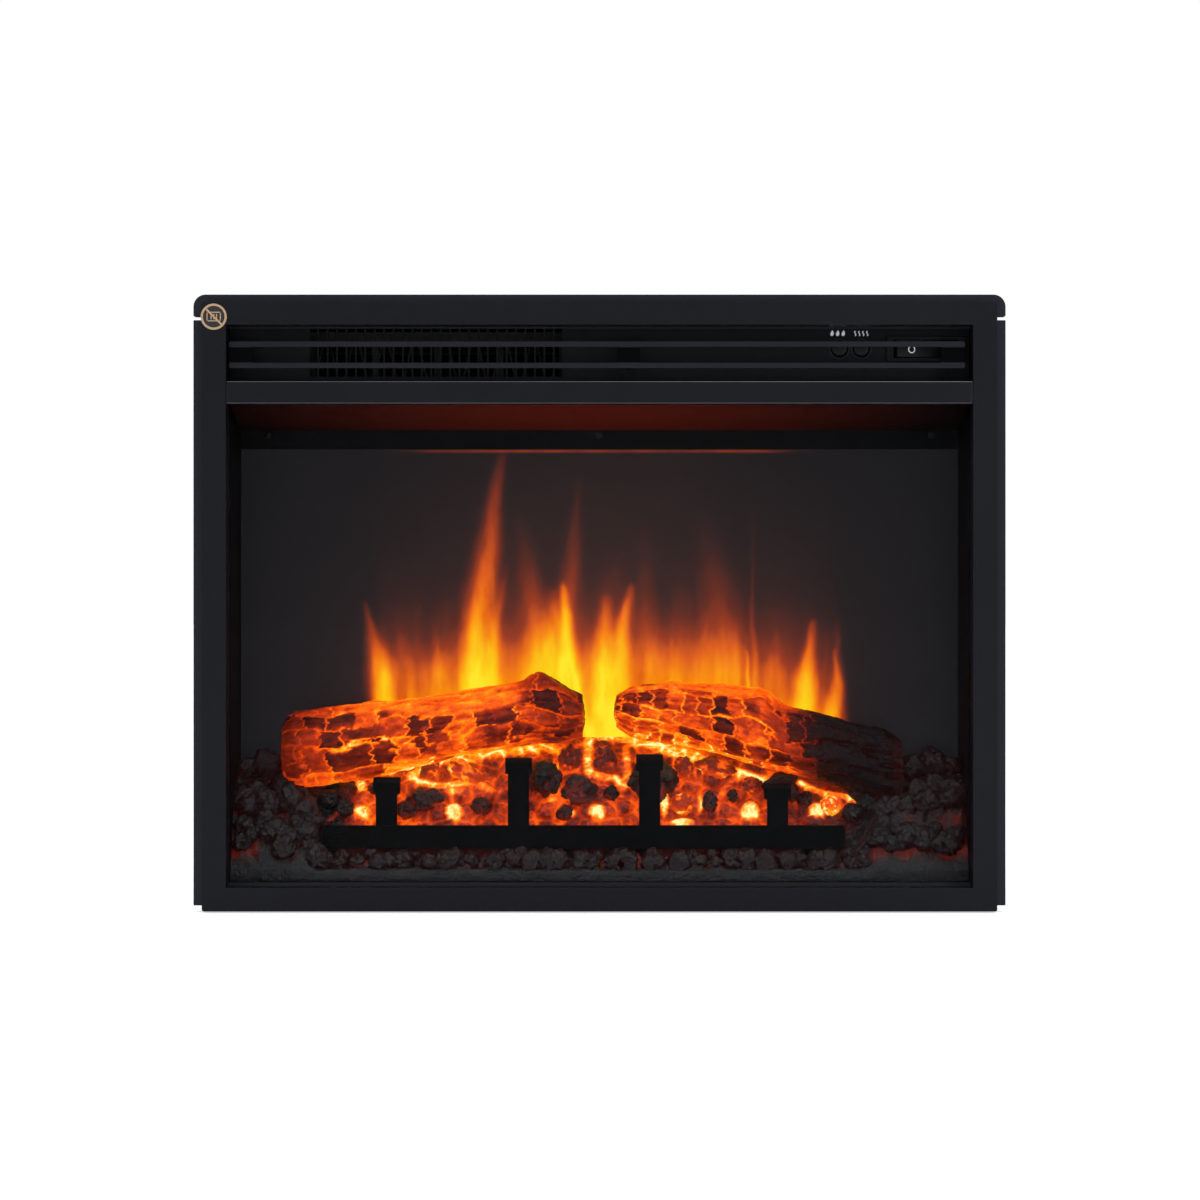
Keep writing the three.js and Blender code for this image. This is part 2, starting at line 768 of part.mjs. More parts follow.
// ---------------------------------------------------------------- heater
function addHeater() {
  const x0 = slotsLeft - housingMargin;
  const x1 = slotsRight + housingMargin;
  const y0 = depth(fasciaBack + 1.5);
  const y1 = y0 + housingDepth;
  const z0 = height(housingBottom);
  const z1 = z0 + housingHeight;
  const axisY = depth(impellerDepth);
  const axisZ = height(impellerHeight);
  const shell = block(x0, x1, y0, y1, z0, z1);
  const duct = block(x0 + sheet, x1 - sheet, y0 - 1, y1 + 1, z0 + sheet, z1 - sheet);
  const shaftHole = roundBar("x", shaftRadius + 2, x0 - 1, x1 + 1, axisY, axisZ);
  add("heater_housing", cut(shell, duct, shaftHole), innerSteel);

  const drum0 = x0 + impellerEndGap;
  const drum1 = x1 - impellerEndGap;
  const bladeRing = impellerRadius - 4;
  const middleDisc = (drum0 + drum1 - impellerDisc) / 2;
  const discs = [drum0, middleDisc, drum1 - impellerDisc].map((x) =>
    roundBar("x", impellerRadius, x, x + impellerDisc, 0, 0, 24),
  );
  const blades = Array.from({ length: bladeCount }, (_, i) => {
    const halfSheet = bladeSheet / 2;
    const halfChord = bladeChord / 2;
    const blade = block(drum0 + 0.5, drum1 - 0.5, -halfSheet, halfSheet, -halfChord, halfChord);
    blade.rotateX(bladeTurn).translate(0, 0, bladeRing);
    return blade.rotateX((i * 2 * Math.PI) / bladeCount);
  });
  const shaft = roundBar("x", shaftRadius, x0 - 12, x1 + 20, 0, 0, 24);
  const impeller = add("blower_impeller", join(shaft, ...discs, ...blades), innerSteel);
  impeller.position.set(0, axisY, axisZ);

  const bore = (from, to) =>
    roundBar("x", shaftRadius + runningClearance, from, to, axisY, axisZ, 24);
  const bearing = block(
    x0 - bearingLength,
    x0 - gap,
    axisY - bearingSize / 2,
    axisY + bearingSize / 2,
    axisZ - bearingSize / 2,
    axisZ + bearingSize / 2,
  );
  add("blower_bearing", cut(bearing, bore(x0 - 20, x0 + 5)), blackPlastic);

  const motorX = x1 + 6;
  const can = roundBar("x", motorRadius, motorX, motorX + motorLength, axisY, axisZ, 32);
  const nose = roundBar("x", 7, motorX - 5, motorX + 1, axisY, axisZ, 24);
  const motorBore = bore(motorX - 10, x1 + 22);
  add("blower_motor", cut(join(can, nose), motorBore), zincSteel);

  const boardY = y0 + elementSetback;
  const half = coilAmplitude + elementBorder;
  const micaBack = boardY + elementSheet;
  const micaPlate = block(x0 + 4, x1 - 4, boardY, micaBack, axisZ - half, axisZ + half);
  const windowPitch = (x1 - x0 - 8 - elementBorder) / elementWindows;
  const windows = slotTools(
    elementWindows,
    x0 + 4 + elementBorder,
    windowPitch,
    windowPitch - elementBorder,
    boardY - 1,
    boardY + 3,
    axisZ - half + 8,
    axisZ + half - 8,
  );
  add("heater_element_frame", cut(micaPlate, ...windows), mica);

  class CoilPath extends THREE.Curve {
    getPoint(t) {
      const x = x0 + 12 + t * (x1 - x0 - 24);
      const z = axisZ + coilAmplitude * Math.sin(t * coilTurns * 2 * Math.PI);
      return new THREE.Vector3(x, boardY - 3, z);
    }
  }
  const wireSection = new THREE.Shape().absarc(0, 0, coilWire, 0, 2 * Math.PI);
  const coil = new THREE.ExtrudeGeometry(wireSection, {
    steps: coilTurns * 10,
    curveSegments: 3,
    extrudePath: new CoilPath(),
  });
  add("heater_coil", join(coil), nichrome);

  const cutoutFace = x1 + gap;
  const disc = roundBar("x", cutoutRadius, cutoutFace, cutoutFace + cutoutDepth, y0 + 18, axisZ, 24);
  const ears = block(cutoutFace, cutoutFace + 1, y0 + 4, y0 + 32, axisZ - 5, axisZ + 5);
  const tabs = [-4, 4].map((dy) =>
    block(x1 + 7, x1 + 15, y0 + 18 + dy - 0.4, y0 + 18 + dy + 0.4, axisZ - 3, axisZ + 3),
  );
  add("thermal_cutout", join(disc, ears, ...tabs), blackPlastic);
}

// ---------------------------------------------------------------- firebox
function addFirebox() {
  const half = openingHalf;
  const y0 = depth(fireboxFront);
  const screenY = depth(screenSetback);
  const panTop = height(casingLift + sheet) + gap;
  const floor = height(floorTop);
  const floorBack = screenY + screenThickness + 8;
  const floorSection = outline([
    [y0, panTop],
    [y0 + sheet, panTop],
    [y0 + sheet, floor - sheet],
    [floorBack - sheet, floor - sheet],
    [floorBack - sheet, panTop],
    [floorBack, panTop],
    [floorBack, floor],
    [y0, floor],
  ]);
  add("firebox_floor", acrossX(floorSection, -half + gap, half - gap), innerSteel);

  const wallTop = height(soffitBack - 2);
  const wallBack = screenY - gap;
  for (const [name, side] of [["firebox_left_wall", -1], ["firebox_right_wall", 1]]) {
    const edges = [side * half, side * (half + sheet)].sort((a, b) => a - b);
    add(name, block(edges[0], edges[1], y0, wallBack, panTop, wallTop), innerSteel);
  }

  const stripFront = screenY - gap - sheet;
  const soffitEnd = stripFront - gap;
  const zf = height(soffitFront);
  const zb = height(soffitBack);
  const flangeTop = height(fasciaBottom) - gap;
  const soffit = outline([
    [y0, zf],
    [soffitEnd, zb],
    [soffitEnd, zb + sheet],
    [y0 + sheet, zf + sheet],
    [y0 + sheet, flangeTop],
    [y0, flangeTop],
  ]);
  add("firebox_soffit", acrossX(soffit, -half + gap, half - gap), innerSteel);

  const screenZ1 = height(screenTop);
  const screwX = [-half + screwFromSide, 0, half - screwFromSide];
  const screwZ = screenZ1 - screwDrop;
  const holes = (from, to) => screwX.map((x) => roundBar("y", screwHole, from, to, x, screwZ, 16));
  const stripZ0 = screenZ1 - screenStripHeight;
  const strip = block(-half + gap, half - gap, stripFront, screenY - gap, stripZ0, screenZ1);
  add("screen_strip", cut(strip, ...holes(stripFront - 1, screenY)), innerSteel);

  const pane = block(
    -half + gap,
    half - gap,
    screenY,
    screenY + screenThickness,
    floor + gap,
    screenZ1,
  );
  const paneHoles = holes(screenY - 1, screenY + screenThickness + 1);
  add("flame_screen", cut(pane, ...paneHoles), smokedAcrylic);

  screwX.forEach((x, i) => {
    const headBack = stripFront - gap;
    const shankEnd = screenY + screenThickness + 2;
    const head = roundBar("y", screwRadius, headBack - screwHead, headBack, x, screwZ, 20);
    const shank = roundBar("y", screwShank, stripFront - 1, shankEnd, x, screwZ, 12);
    add("screen_screw_" + (i + 1), join(head, shank), blackSteel);
  });
}

// A leaf of flame with its foot at (x, z), leaning by lean at its tip.
function flameShape(x, z, halfWidth, tall, lean) {
  const shape = new THREE.Shape();
  shape.moveTo(x - halfWidth, z);
  shape.quadraticCurveTo(x - halfWidth * 1.2, z + tall * 0.5, x + lean, z + tall);
  shape.quadraticCurveTo(x + halfWidth * 0.9, z + tall * 0.45, x + halfWidth, z);
  shape.closePath();
  return shape;
}

function addFlameMaker() {
  const screenBack = depth(screenSetback + screenThickness);
  const y0 = screenBack + reflectorBehindScreen;
  const half = openingHalf - 12;
  const z0 = height(rodHeight + flagRadius + 20);
  const z1 = height(screenTop - 20);
  const plate = block(-half, half, y0, y0 + 0.8, z0, z1);
  const pitch = (2 * half - 80) / flameHoles;
  const flames = Array.from({ length: flameHoles }, (_, i) => {
    const x = -half + 40 + pitch * (i + 0.5);
    const tall = (z1 - z0) * (0.45 + 0.3 * Math.sin(2.1 * i + 1) ** 2);
    const leaf = flameShape(x, z0 + 14, pitch * 0.28, tall, pitch * 0.3 * Math.sin(3 * i));
    return frontPlate(leaf, y0 - 1, y0 + 2);
  });
  add("flame_reflector", cut(plate, ...flames), polished);

  const axisY = depth(rodDepth);
  const axisZ = height(rodHeight);
  const rod0 = -half + 22;
  const rod1 = half - 28;
  const flagPitch = (rod1 - rod0 - 40) / flagCount;
  const flags = Array.from({ length: flagCount }, (_, i) => {
    const flag = block(-flagPitch * 0.36, flagPitch * 0.36, -0.5, 0.5, -flagRadius, flagRadius);
    flag.rotateZ(0.12).rotateX(i * 0.9);
    return flag.translate(rod0 + 20 + flagPitch * (i + 0.5), 0, 0);
  });
  const rod = roundBar("x", rodRadius, rod0, rod1, 0, 0, 24);
  const flicker = add("flicker_rod", join(rod, ...flags), polished);
  flicker.position.set(0, axisY, axisZ);

  const bore = (from, to) => roundBar("x", rodRadius + runningClearance, from, to, axisY, axisZ, 24);
  const panTop = height(casingLift + sheet) + gap;
  const bush = block(rod0 - 4, rod0 + 8, axisY - 8, axisY + 8, panTop, axisZ + 8);
  add("flicker_bush", cut(bush, bore(rod0 - 1, rod0 + 9)), blackPlastic);

  const motorFace = rod1 - 12;
  const can = roundBar(
    "x",
    flickerMotorRadius,
    motorFace,
    motorFace + flickerMotorLength,
    axisY,
    axisZ,
    32,
  );
  const nose = roundBar("x", 6, motorFace - 4, motorFace + 1, axisY, axisZ, 24);
  add("flicker_motor", cut(join(can, nose), bore(motorFace - 10, rod1 + 1)), zincSteel);

  const bracketX = motorFace + flickerMotorLength + gap;
  const upright = block(bracketX, bracketX + 1.5, axisY - 16, axisY + 16, panTop, axisZ + 18);
  const shoe = block(bracketX - 14, bracketX + 1.5, axisY - 16, axisY + 16, panTop, panTop + 1.5);
  add("flicker_motor_bracket", join(upright, shoe), zincSteel);

  const ledX = half - 45;
  const ledRow = (y, z, width, count) => {
    const strip = block(-ledX, ledX, y, y + width, z, z + 1.6);
    const leds = Array.from({ length: count }, (_, i) => {
      const x = -ledX + ((2 * ledX) / count) * (i + 0.5);
      const half = ledSize / 2;
      const middle = y + width / 2;
      return block(x - half, x + half, middle - half, middle + half, z + 1.5, z + 3.2);
    });
    return join(strip, ...leds);
  };
  add("flame_led_board", ledRow(screenBack + 10, panTop + 6, 12, flameLedCount), board);
  const bedLed = depth(logDepth - 10);
  add("ember_led_board", ledRow(bedLed, height(floorTop) + gap, 14, emberLedCount), board);
}

// ---------------------------------------------------------------- fuel bed
const logEnds = {
  left: [-openingHalf + leftLogMargin, -logMiddleGap],
  right: [openingHalf - rightLogMargin, logMiddleGap],
};

// Lowest point of whichever log lies over x, or Infinity where there is none.
function logUnderside(x, margin) {
  let lowest = Infinity;
  for (const [log, [outer, inner]] of [[leftLog, logEnds.left], [rightLog, logEnds.right]]) {
    const t = (x - outer) / (inner - outer);
    const reach = margin / Math.abs(inner - outer);
    if (t > -reach && t < 1 + reach) {
      const along = THREE.MathUtils.clamp(t, 0, 1);
      const axis = THREE.MathUtils.lerp(log.outerHeight, log.innerHeight, along);
      const radius = THREE.MathUtils.lerp(log.outerRadius, log.innerRadius, along);
      lowest = Math.min(lowest, axis - radius * 1.08);
    }
  }
  return lowest;
}

// A tapered, slightly knobbly closed log.
function logGeometry(log, [outer, inner], phase) {
  const rings = 12;
  const sides = 16;
  const points = [];
  for (let i = 0; i <= rings; i += 1) {
    const t = i / rings;
    const endPinch = i === 0 || i === rings ? 0.86 : 1;
    const base = THREE.MathUtils.lerp(log.outerRadius, log.innerRadius, t) * endPinch;
    for (let k = 0; k < sides; k += 1) {
      const a = (k / sides) * 2 * Math.PI;
      const radius = base * (0.97 + 0.03 * Math.sin(3 * a + 5 * t + phase));
      points.push(
        THREE.MathUtils.lerp(outer, inner, t),
        depth(logDepth) + radius * Math.cos(a),
        height(THREE.MathUtils.lerp(log.outerHeight, log.innerHeight, t)) + radius * Math.sin(a),
      );
    }
  }
  const index = [];
  const at = (i, k) => i * sides + (k % sides);
  const flip = inner > outer;
  const triangle = (a, b, c) => (flip ? index.push(a, c, b) : index.push(a, b, c));
  for (let i = 0; i < rings; i += 1) {
    for (let k = 0; k < sides; k += 1) {
      triangle(at(i, k), at(i + 1, k), at(i + 1, k + 1));
      triangle(at(i, k), at(i + 1, k + 1), at(i, k + 1));
    }
  }
  for (let k = 1; k < sides - 1; k += 1) {
    triangle(at(0, 0), at(0, k), at(0, k + 1));
    triangle(at(rings, 0), at(rings, k + 1), at(rings, k));
  }
  const geometry = new THREE.BufferGeometry();
  geometry.setAttribute("position", new THREE.Float32BufferAttribute(points, 3));
  geometry.setIndex(index);
  geometry.computeVertexNormals();
  return geometry;
}

// Height of the bed's surface above the frame's lower edge.
function bedSurface(x, fromLip) {
  const steps = [
    [0, bedLip + floorTop],
    [5, coalHeight - 2],
    [11, coalHeight],
    [23, coalHeight],
    [30, coalHeight + 14],
    [46, coalHeight + 45],
    [75, coalHeight + 58],
  ];
  const next = steps.findIndex(([d]) => d > fromLip);
  const [d0, h0] = steps[Math.max(next - 1, 0)];
  const [d1, h1] = next < 0 ? steps[steps.length - 1] : steps[next];
  const share = next < 0 ? 0 : (fromLip - d0) / (d1 - d0);
  const slope = next < 0 ? h1 : h0 + (h1 - h0) * share;
  const mound = THREE.MathUtils.smoothstep(Math.abs(x), openingHalf - 75, openingHalf - 30);
  const rise = THREE.MathUtils.smoothstep(fromLip, 8, 32);
  const lumps = 2 * Math.sin(x * 0.21 + fromLip) * Math.sin(x * 0.083 - fromLip * 0.3);
  return slope + mound * rise * (125 - slope) * 0.95 + (fromLip > 0 ? lumps - 2 : 0);
}

function addEmberBed() {
  const lip = fireboxFront + 3.5;
  const rows = [0, 5, 11, 17, 23, 30, 38, 46, 55, 65, screenSetback - gap - sheet - 2 - lip];
  const columns = 56;
  const half = openingHalf - gap;
  const spacing = (2 * half) / columns;
  const floor = floorTop + gap;
  const top = [];
  const under = [];
  rows.forEach((fromLip, r) => {
    for (let c = 0; c <= columns; c += 1) {
      const x = -half + c * spacing;
      const overGrate = x > grateSpan[0] - spacing && x < grateSpan[1] + spacing;
      const grateLimit = overGrate && fromLip < 24 ? grateBarLift - 1 : Infinity;
      const limit = Math.min(grateLimit, logUnderside(x, spacing + 2) - 1);
      const z = Math.min(bedSurface(x, fromLip), limit);
      const edge = r === 0 || r === rows.length - 1 || c === 0 || c === columns;
      const lower = edge ? floor : Math.max(z - bedThickness, floor);
      top.push(x, depth(lip + fromLip), height(z));
      under.push(x, depth(lip + fromLip), height(lower));
    }
  });
  const stride = columns + 1;
  const offset = rows.length * stride;
  const index = [];
  const quad = (a, b, c, d) => index.push(a, b, c, a, c, d);
  for (let r = 0; r < rows.length - 1; r += 1) {
    for (let c = 0; c < columns; c += 1) {
      const a = r * stride + c;
      quad(a, a + 1, a + 1 + stride, a + stride);
      quad(offset + a, offset + a + stride, offset + a + 1 + stride, offset + a + 1);
    }
  }
  const edgeWall = (a, b) => quad(a, offset + a, offset + b, b);
  for (let c = 0; c < columns; c += 1) {
    edgeWall(c, c + 1);
    edgeWall((rows.length - 1) * stride + c + 1, (rows.length - 1) * stride + c);
  }
  for (let r = 0; r < rows.length - 1; r += 1) {
    edgeWall((r + 1) * stride, r * stride);
    edgeWall(r * stride + columns, (r + 1) * stride + columns);
  }
  const geometry = new THREE.BufferGeometry();
  geometry.setAttribute("position", new THREE.Float32BufferAttribute([...top, ...under], 3));
  geometry.setIndex(index);
  geometry.computeVertexNormals();
  add("ember_bed", geometry, emberResin);
}

function addGrate() {
  const lip = fireboxFront + 3.5;
  const y0 = depth(lip + 15);
  const y1 = y0 + grateBarDepth;
  const z0 = height(grateBarLift);
  const barTop = z0 + grateBarHeight;
  const bar = block(grateSpan[0], grateSpan[1], y0, y1, z0, barTop);
  // A post stands on the bar and leans back under its log; its head is a wider hood.
  const posts = gratePosts.flatMap((x) => {
    const halfHead = grateHeadWidth / 2;
    const underside = Math.min(logUnderside(x - halfHead, 0), logUnderside(x + halfHead, 0));
    const top = height(underside - postToLog);
    const hem = top - grateHeadHeight;
    const stem = outline([
      [y0 + 1, barTop - 2],
      [y1 - 1, barTop - 2],
      [y1 - 1, hem - 1],
      [y1 + 2, top - 4],
      [y0 + 4, top - 4],
      [y0 + 1, hem],
    ]);
    const hood = outline([
      [y0 + 1, hem],
      [y1 - 1, hem],
      [y1 + 9, top - 4],
      [y1 + 9, top],
      [y0 + 5, top],
      [y0 + 1, top - 4],
    ]);
    return [
      acrossX(stem, x - gratePostWidth / 2, x + gratePostWidth / 2),
      acrossX(hood, x - halfHead, x + halfHead),
    ];
  });
  add("grate", join(bar, ...posts), gratePaint);
}

addFrontFrame();
addBrowRail();
addTopTrim();
addSideTrims();
addCasing();
addMainsInlet();
addWindow();
addFascia();
addGrille();
addKeys();
addRockerSwitch();
addHeater();
addFirebox();
addFlameMaker();
add("left_log", logGeometry(leftLog, logEnds.left, 0), logResin);
add("right_log", logGeometry(rightLog, logEnds.right, 1.4), logResin);
addEmberBed();
addGrate();

export default insert;
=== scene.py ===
import json
import math

import bpy
import numpy as np
from mathutils import Matrix, Vector


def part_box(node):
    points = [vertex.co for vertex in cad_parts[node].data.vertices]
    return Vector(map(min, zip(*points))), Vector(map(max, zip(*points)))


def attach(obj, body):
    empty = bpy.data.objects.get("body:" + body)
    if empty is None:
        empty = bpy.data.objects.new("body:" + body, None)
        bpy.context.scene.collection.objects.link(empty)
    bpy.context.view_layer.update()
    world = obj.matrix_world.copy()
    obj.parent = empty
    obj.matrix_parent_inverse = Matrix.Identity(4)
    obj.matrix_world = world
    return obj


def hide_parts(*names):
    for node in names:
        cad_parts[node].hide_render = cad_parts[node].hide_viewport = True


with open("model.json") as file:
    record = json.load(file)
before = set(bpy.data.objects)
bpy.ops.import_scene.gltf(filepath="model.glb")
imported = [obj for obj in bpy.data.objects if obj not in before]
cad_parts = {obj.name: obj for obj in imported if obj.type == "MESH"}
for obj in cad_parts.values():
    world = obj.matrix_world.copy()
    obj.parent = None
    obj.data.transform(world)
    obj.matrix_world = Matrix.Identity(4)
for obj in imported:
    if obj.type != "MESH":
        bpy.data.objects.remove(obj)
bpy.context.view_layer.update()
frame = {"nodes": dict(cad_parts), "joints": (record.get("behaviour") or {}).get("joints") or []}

bl_info = {
    "name": "Electric fireplace insert",
    "version": (1, 0, 0),
    "blender": (4, 5, 0),
    "location": "3D View > Sidebar > Fireplace",
    "description": "Builds the finished look of an electric fireplace insert around its frame",
    "category": "Add Mesh",
}

MM = 0.001
NODES = frame["nodes"]
COLLECTION = bpy.context.scene.collection

# Places read from the frame, in metres.
FRAME_LO, FRAME_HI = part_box("front_frame")
BROW_LO, BROW_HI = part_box("brow_rail")
FASCIA_LO, FASCIA_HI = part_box("control_fascia")
GLASS_LO, GLASS_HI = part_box("front_glass")
SCREEN_LO, SCREEN_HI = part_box("flame_screen")
BED_LO, BED_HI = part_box("ember_bed")
SOFFIT_LO, SOFFIT_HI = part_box("firebox_soffit")
GRILLE_LO, GRILLE_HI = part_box("louvre_grille")
GRILLE_MIDDLE = (GRILLE_LO.z + GRILLE_HI.z) / 2
GRILLE_HALF = (GRILLE_HI.z - GRILLE_LO.z) / 2
BASE = FRAME_LO.z  # heights inside the firebox are measured from the frame's lower edge
EYE_HEIGHT = BASE + 0.2530
EYE_OFFSET = 0.0004  # the camera stands this far to the right of the middle
BAR_THICKNESS = 0.0048  # each louvre bar, top to bottom
PRINT_PROUD = 0.00006  # how far printed marks stand off their face
CLEARANCE = 0.0001  # between a soft strip and the sheet it touches


# ------------------------------------------------------------------ settings
class FIRE_PG_finish(bpy.types.PropertyGroup):
    """Colours and finishes a user may change"""

    coat_colour: bpy.props.FloatVectorProperty(
        name="Powder coat",
        description="Colour of the front frame and its trims",
        default=(0.0036, 0.0035, 0.0062),
        subtype="COLOR",
        size=3,
        min=0.0,
        max=1.0,
    )
    grille_colour: bpy.props.FloatVectorProperty(
        name="Grille",
        description="Colour of the two louvre bars",
        default=(0.0105, 0.0105, 0.0140),
        subtype="COLOR",
        size=3,
        min=0.0,
        max=1.0,
    )
    print_colour: bpy.props.FloatVectorProperty(
        name="Print",
        description="Colour of the printed marks on the control panel",
        default=(0.75, 0.76, 0.78),
        subtype="COLOR",
        size=3,
        min=0.0,
        max=1.0,
    )
    sticker_colour: bpy.props.FloatVectorProperty(
        name="Sticker",
        description="Colour of the round sticker's ring",
        default=(0.56, 0.36, 0.20),
        subtype="COLOR",
        size=3,
        min=0.0,
        max=1.0,
    )


class FIRE_PG_fire(bpy.types.PropertyGroup):
    """How the fire looks"""

    flame_strength: bpy.props.FloatProperty(
        name="Flame strength",
        description="Brightness of the flames on the screen",
        default=1.3,
        min=0.0,
        max=10.0,
    )
    ember_strength: bpy.props.FloatProperty(
        name="Ember strength",
        description="Brightness of the bed and the logs",
        default=1.45,
        min=0.0,
        max=10.0,
    )
    flame_step: bpy.props.FloatProperty(
        name="Flame detail",
        description="Distance between the points that carry the flames",
        default=0.0014,
        min=0.0005,
        max=0.01,
        unit="LENGTH",
    )


class FIRE_PG_studio(bpy.types.PropertyGroup):
    """Camera and light"""

    camera_distance: bpy.props.FloatProperty(
        name="Camera distance",
        description="From the camera to the frame's front face",
        default=2.6,
        min=0.5,
        max=20.0,
        unit="LENGTH",
    )
    field_width: bpy.props.FloatProperty(
        name="Field",
        description="Width that the camera sees at the frame's front face",
        default=0.9742,
        min=0.1,
        max=10.0,
        unit="LENGTH",
    )
    light_power: bpy.props.FloatProperty(
        name="Light power",
        description="Power of the overhead light",
        default=18.0,
        min=0.0,
        max=1000.0,
    )


# ------------------------------------------------------------------ modelling helpers
def activate(obj):
    """Leaves only obj selected, and active."""
    bpy.ops.object.select_all(action="DESELECT")
    obj.select_set(True)
    bpy.context.view_layer.objects.active = obj


def apply_modifiers(obj):
    """Turns every modifier of the object into mesh, in their order."""
    activate(obj)
    for modifier in list(obj.modifiers):
        bpy.ops.object.modifier_apply(modifier=modifier.name)


def settle(obj):
    """Puts the object's place and turn into its mesh."""
    activate(obj)
    bpy.ops.object.transform_apply(location=True, rotation=True, scale=True)


def join(objects, name):
    """Joins the objects into the first one and names it."""
    bpy.ops.object.select_all(action="DESELECT")
    for obj in objects:
        obj.select_set(True)
    bpy.context.view_layer.objects.active = objects[0]
    if len(objects) > 1:
        bpy.ops.object.join()
    joined = bpy.context.view_layer.objects.active
    joined.name = name
    joined.data.name = name
    return joined


def hand_over(obj, name, body, material, replaces=(), angle=35.0):
    """Names a finished piece, gives it its finish and lets it ride on its body."""
    obj.name = name
    obj.data.name = name
    if material is not None:
        obj.data.materials.clear()
        obj.data.materials.append(material)
    activate(obj)
    bpy.ops.object.shade_smooth_by_angle(angle=math.radians(angle))
    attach(obj, body)
    if replaces:
        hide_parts(*replaces)
    return obj


def flat_faces(obj):
    """Lets the large faces keep their own direction, so that only the rounded edges shade round."""
    modifier = obj.modifiers.new("flat_faces", "WEIGHTED_NORMAL")
    modifier.weight = 100
    modifier.keep_sharp = True
    apply_modifiers(obj)
    return obj


def bevelled(obj, width, segments=2, angle=30.0, edged=False):
    """Rounds every edge sharper than the angle, in degrees. Edged gives the rounding the second finish."""
    modifier = obj.modifiers.new("round", "BEVEL")
    if edged:
        modifier.material = 1
    modifier.width = width
    modifier.segments = segments
    modifier.limit_method = "ANGLE"
    modifier.angle_limit = math.radians(angle)
    modifier.harden_normals = False
    modifier.use_clamp_overlap = True
    apply_modifiers(obj)
    return obj


def crisp(node, width, segments=2, edged=False):
    """A copy of a frame node with its triangles joined into flat faces and its edges rounded.
    If it is edged, the rounded edges take the second finish, a lighter coat that paints a highlight along
    them."""
    copy = bpy.data.objects.new(node + "_finished", NODES[node].data.copy())
    COLLECTION.objects.link(copy)
    if edged:
        copy.data.materials.clear()
        for finish in ("black_steel", "edge"):
            copy.data.materials.append(FINISH[finish])
    activate(copy)
    bpy.ops.object.mode_set(mode="EDIT")
    bpy.ops.mesh.select_all(action="SELECT")
    bpy.ops.mesh.remove_doubles(threshold=1e-6)
    bpy.ops.mesh.dissolve_limited(angle_limit=math.radians(1.0))
    bpy.ops.object.mode_set(mode="OBJECT")
    return bevelled(copy, width, segments, 30.0, edged)


def slab(x0, x1, y0, y1, z0, z1):
    """A block between two corners, as a start for a piece."""
    bpy.ops.object.select_all(action="DESELECT")
    bpy.ops.mesh.primitive_cube_add(
        size=1.0, location=((x0 + x1) / 2, (y0 + y1) / 2, (z0 + z1) / 2)
    )
    obj = bpy.context.active_object
    obj.scale = (x1 - x0, y1 - y0, z1 - z0)
    settle(obj)
    return obj


def disc(radius, thickness, x, y, z, axis="y", sides=48):
    """A short round bar whose middle is at (x, y, z)."""
    turn = {"x": (0, math.pi / 2, 0), "y": (math.pi / 2, 0, 0), "z": (0, 0, 0)}[axis]
    bpy.ops.object.select_all(action="DESELECT")
    bpy.ops.mesh.primitive_cylinder_add(
        vertices=sides, radius=radius, depth=thickness, location=(x, y, z), rotation=turn
    )
    obj = bpy.context.active_object
    settle(obj)
    return obj


def flat_ring(radius, wire, x, y, z, flatness, sides, wire_sides):
    """A ring round the y axis at (x, y, z), pressed flat along y."""
    bpy.ops.object.select_all(action="DESELECT")
    bpy.ops.mesh.primitive_torus_add(
        major_radius=radius, minor_radius=wire, major_segments=sides, minor_segments=wire_sides,
        location=(x, y, z), rotation=(math.pi / 2, 0, 0),
    )
    ring = bpy.context.active_object
    settle(ring)
    co = points_of(ring)
    co[:, 1] = y + flatness * (co[:, 1] - y)
    set_points(ring, co)
    return ring


def select_faces(obj, test):
    """In edit mode afterwards, with only the faces that pass the test selected."""
    activate(obj)
    bpy.ops.object.mode_set(mode="EDIT")
    bpy.ops.mesh.select_mode(type="FACE")
    bpy.ops.mesh.select_all(action="DESELECT")
    bpy.ops.object.mode_set(mode="OBJECT")
    for face in obj.data.polygons:
        face.select = test(face)
    bpy.ops.object.mode_set(mode="EDIT")


def points_of(obj):
    """The mesh's points as rows of x, y, z."""
    co = np.empty(len(obj.data.vertices) * 3, np.float64)
    obj.data.vertices.foreach_get("co", co)
    return co.reshape(-1, 3)


def set_points(obj, co):
    obj.data.vertices.foreach_set("co", np.asarray(co, np.float32).ravel())
    obj.data.update()


def set_attribute(obj, name, values):
    attribute = obj.data.attributes.get(name) or obj.data.attributes.new(name, "FLOAT", "POINT")
    attribute.data.foreach_set("value", np.asarray(values, np.float32))


# ------------------------------------------------------------------ noise on numbers
def hashed(ix, iy, iz, seed):
    """A repeatable number from 0 to 1 for each whole-number cell."""
    h = (ix * 374761393 + iy * 668265263 + iz * 2147483647 + seed * 1274126177) & 0xFFFFFFFF
    h = (h ^ (h >> 13)) * 1274126177 & 0xFFFFFFFF
    h = (h ^ (h >> 16)) * 668265263 & 0xFFFFFFFF
    return ((h ^ (h >> 15)) & 0xFFFFFF) / float(0xFFFFFF)


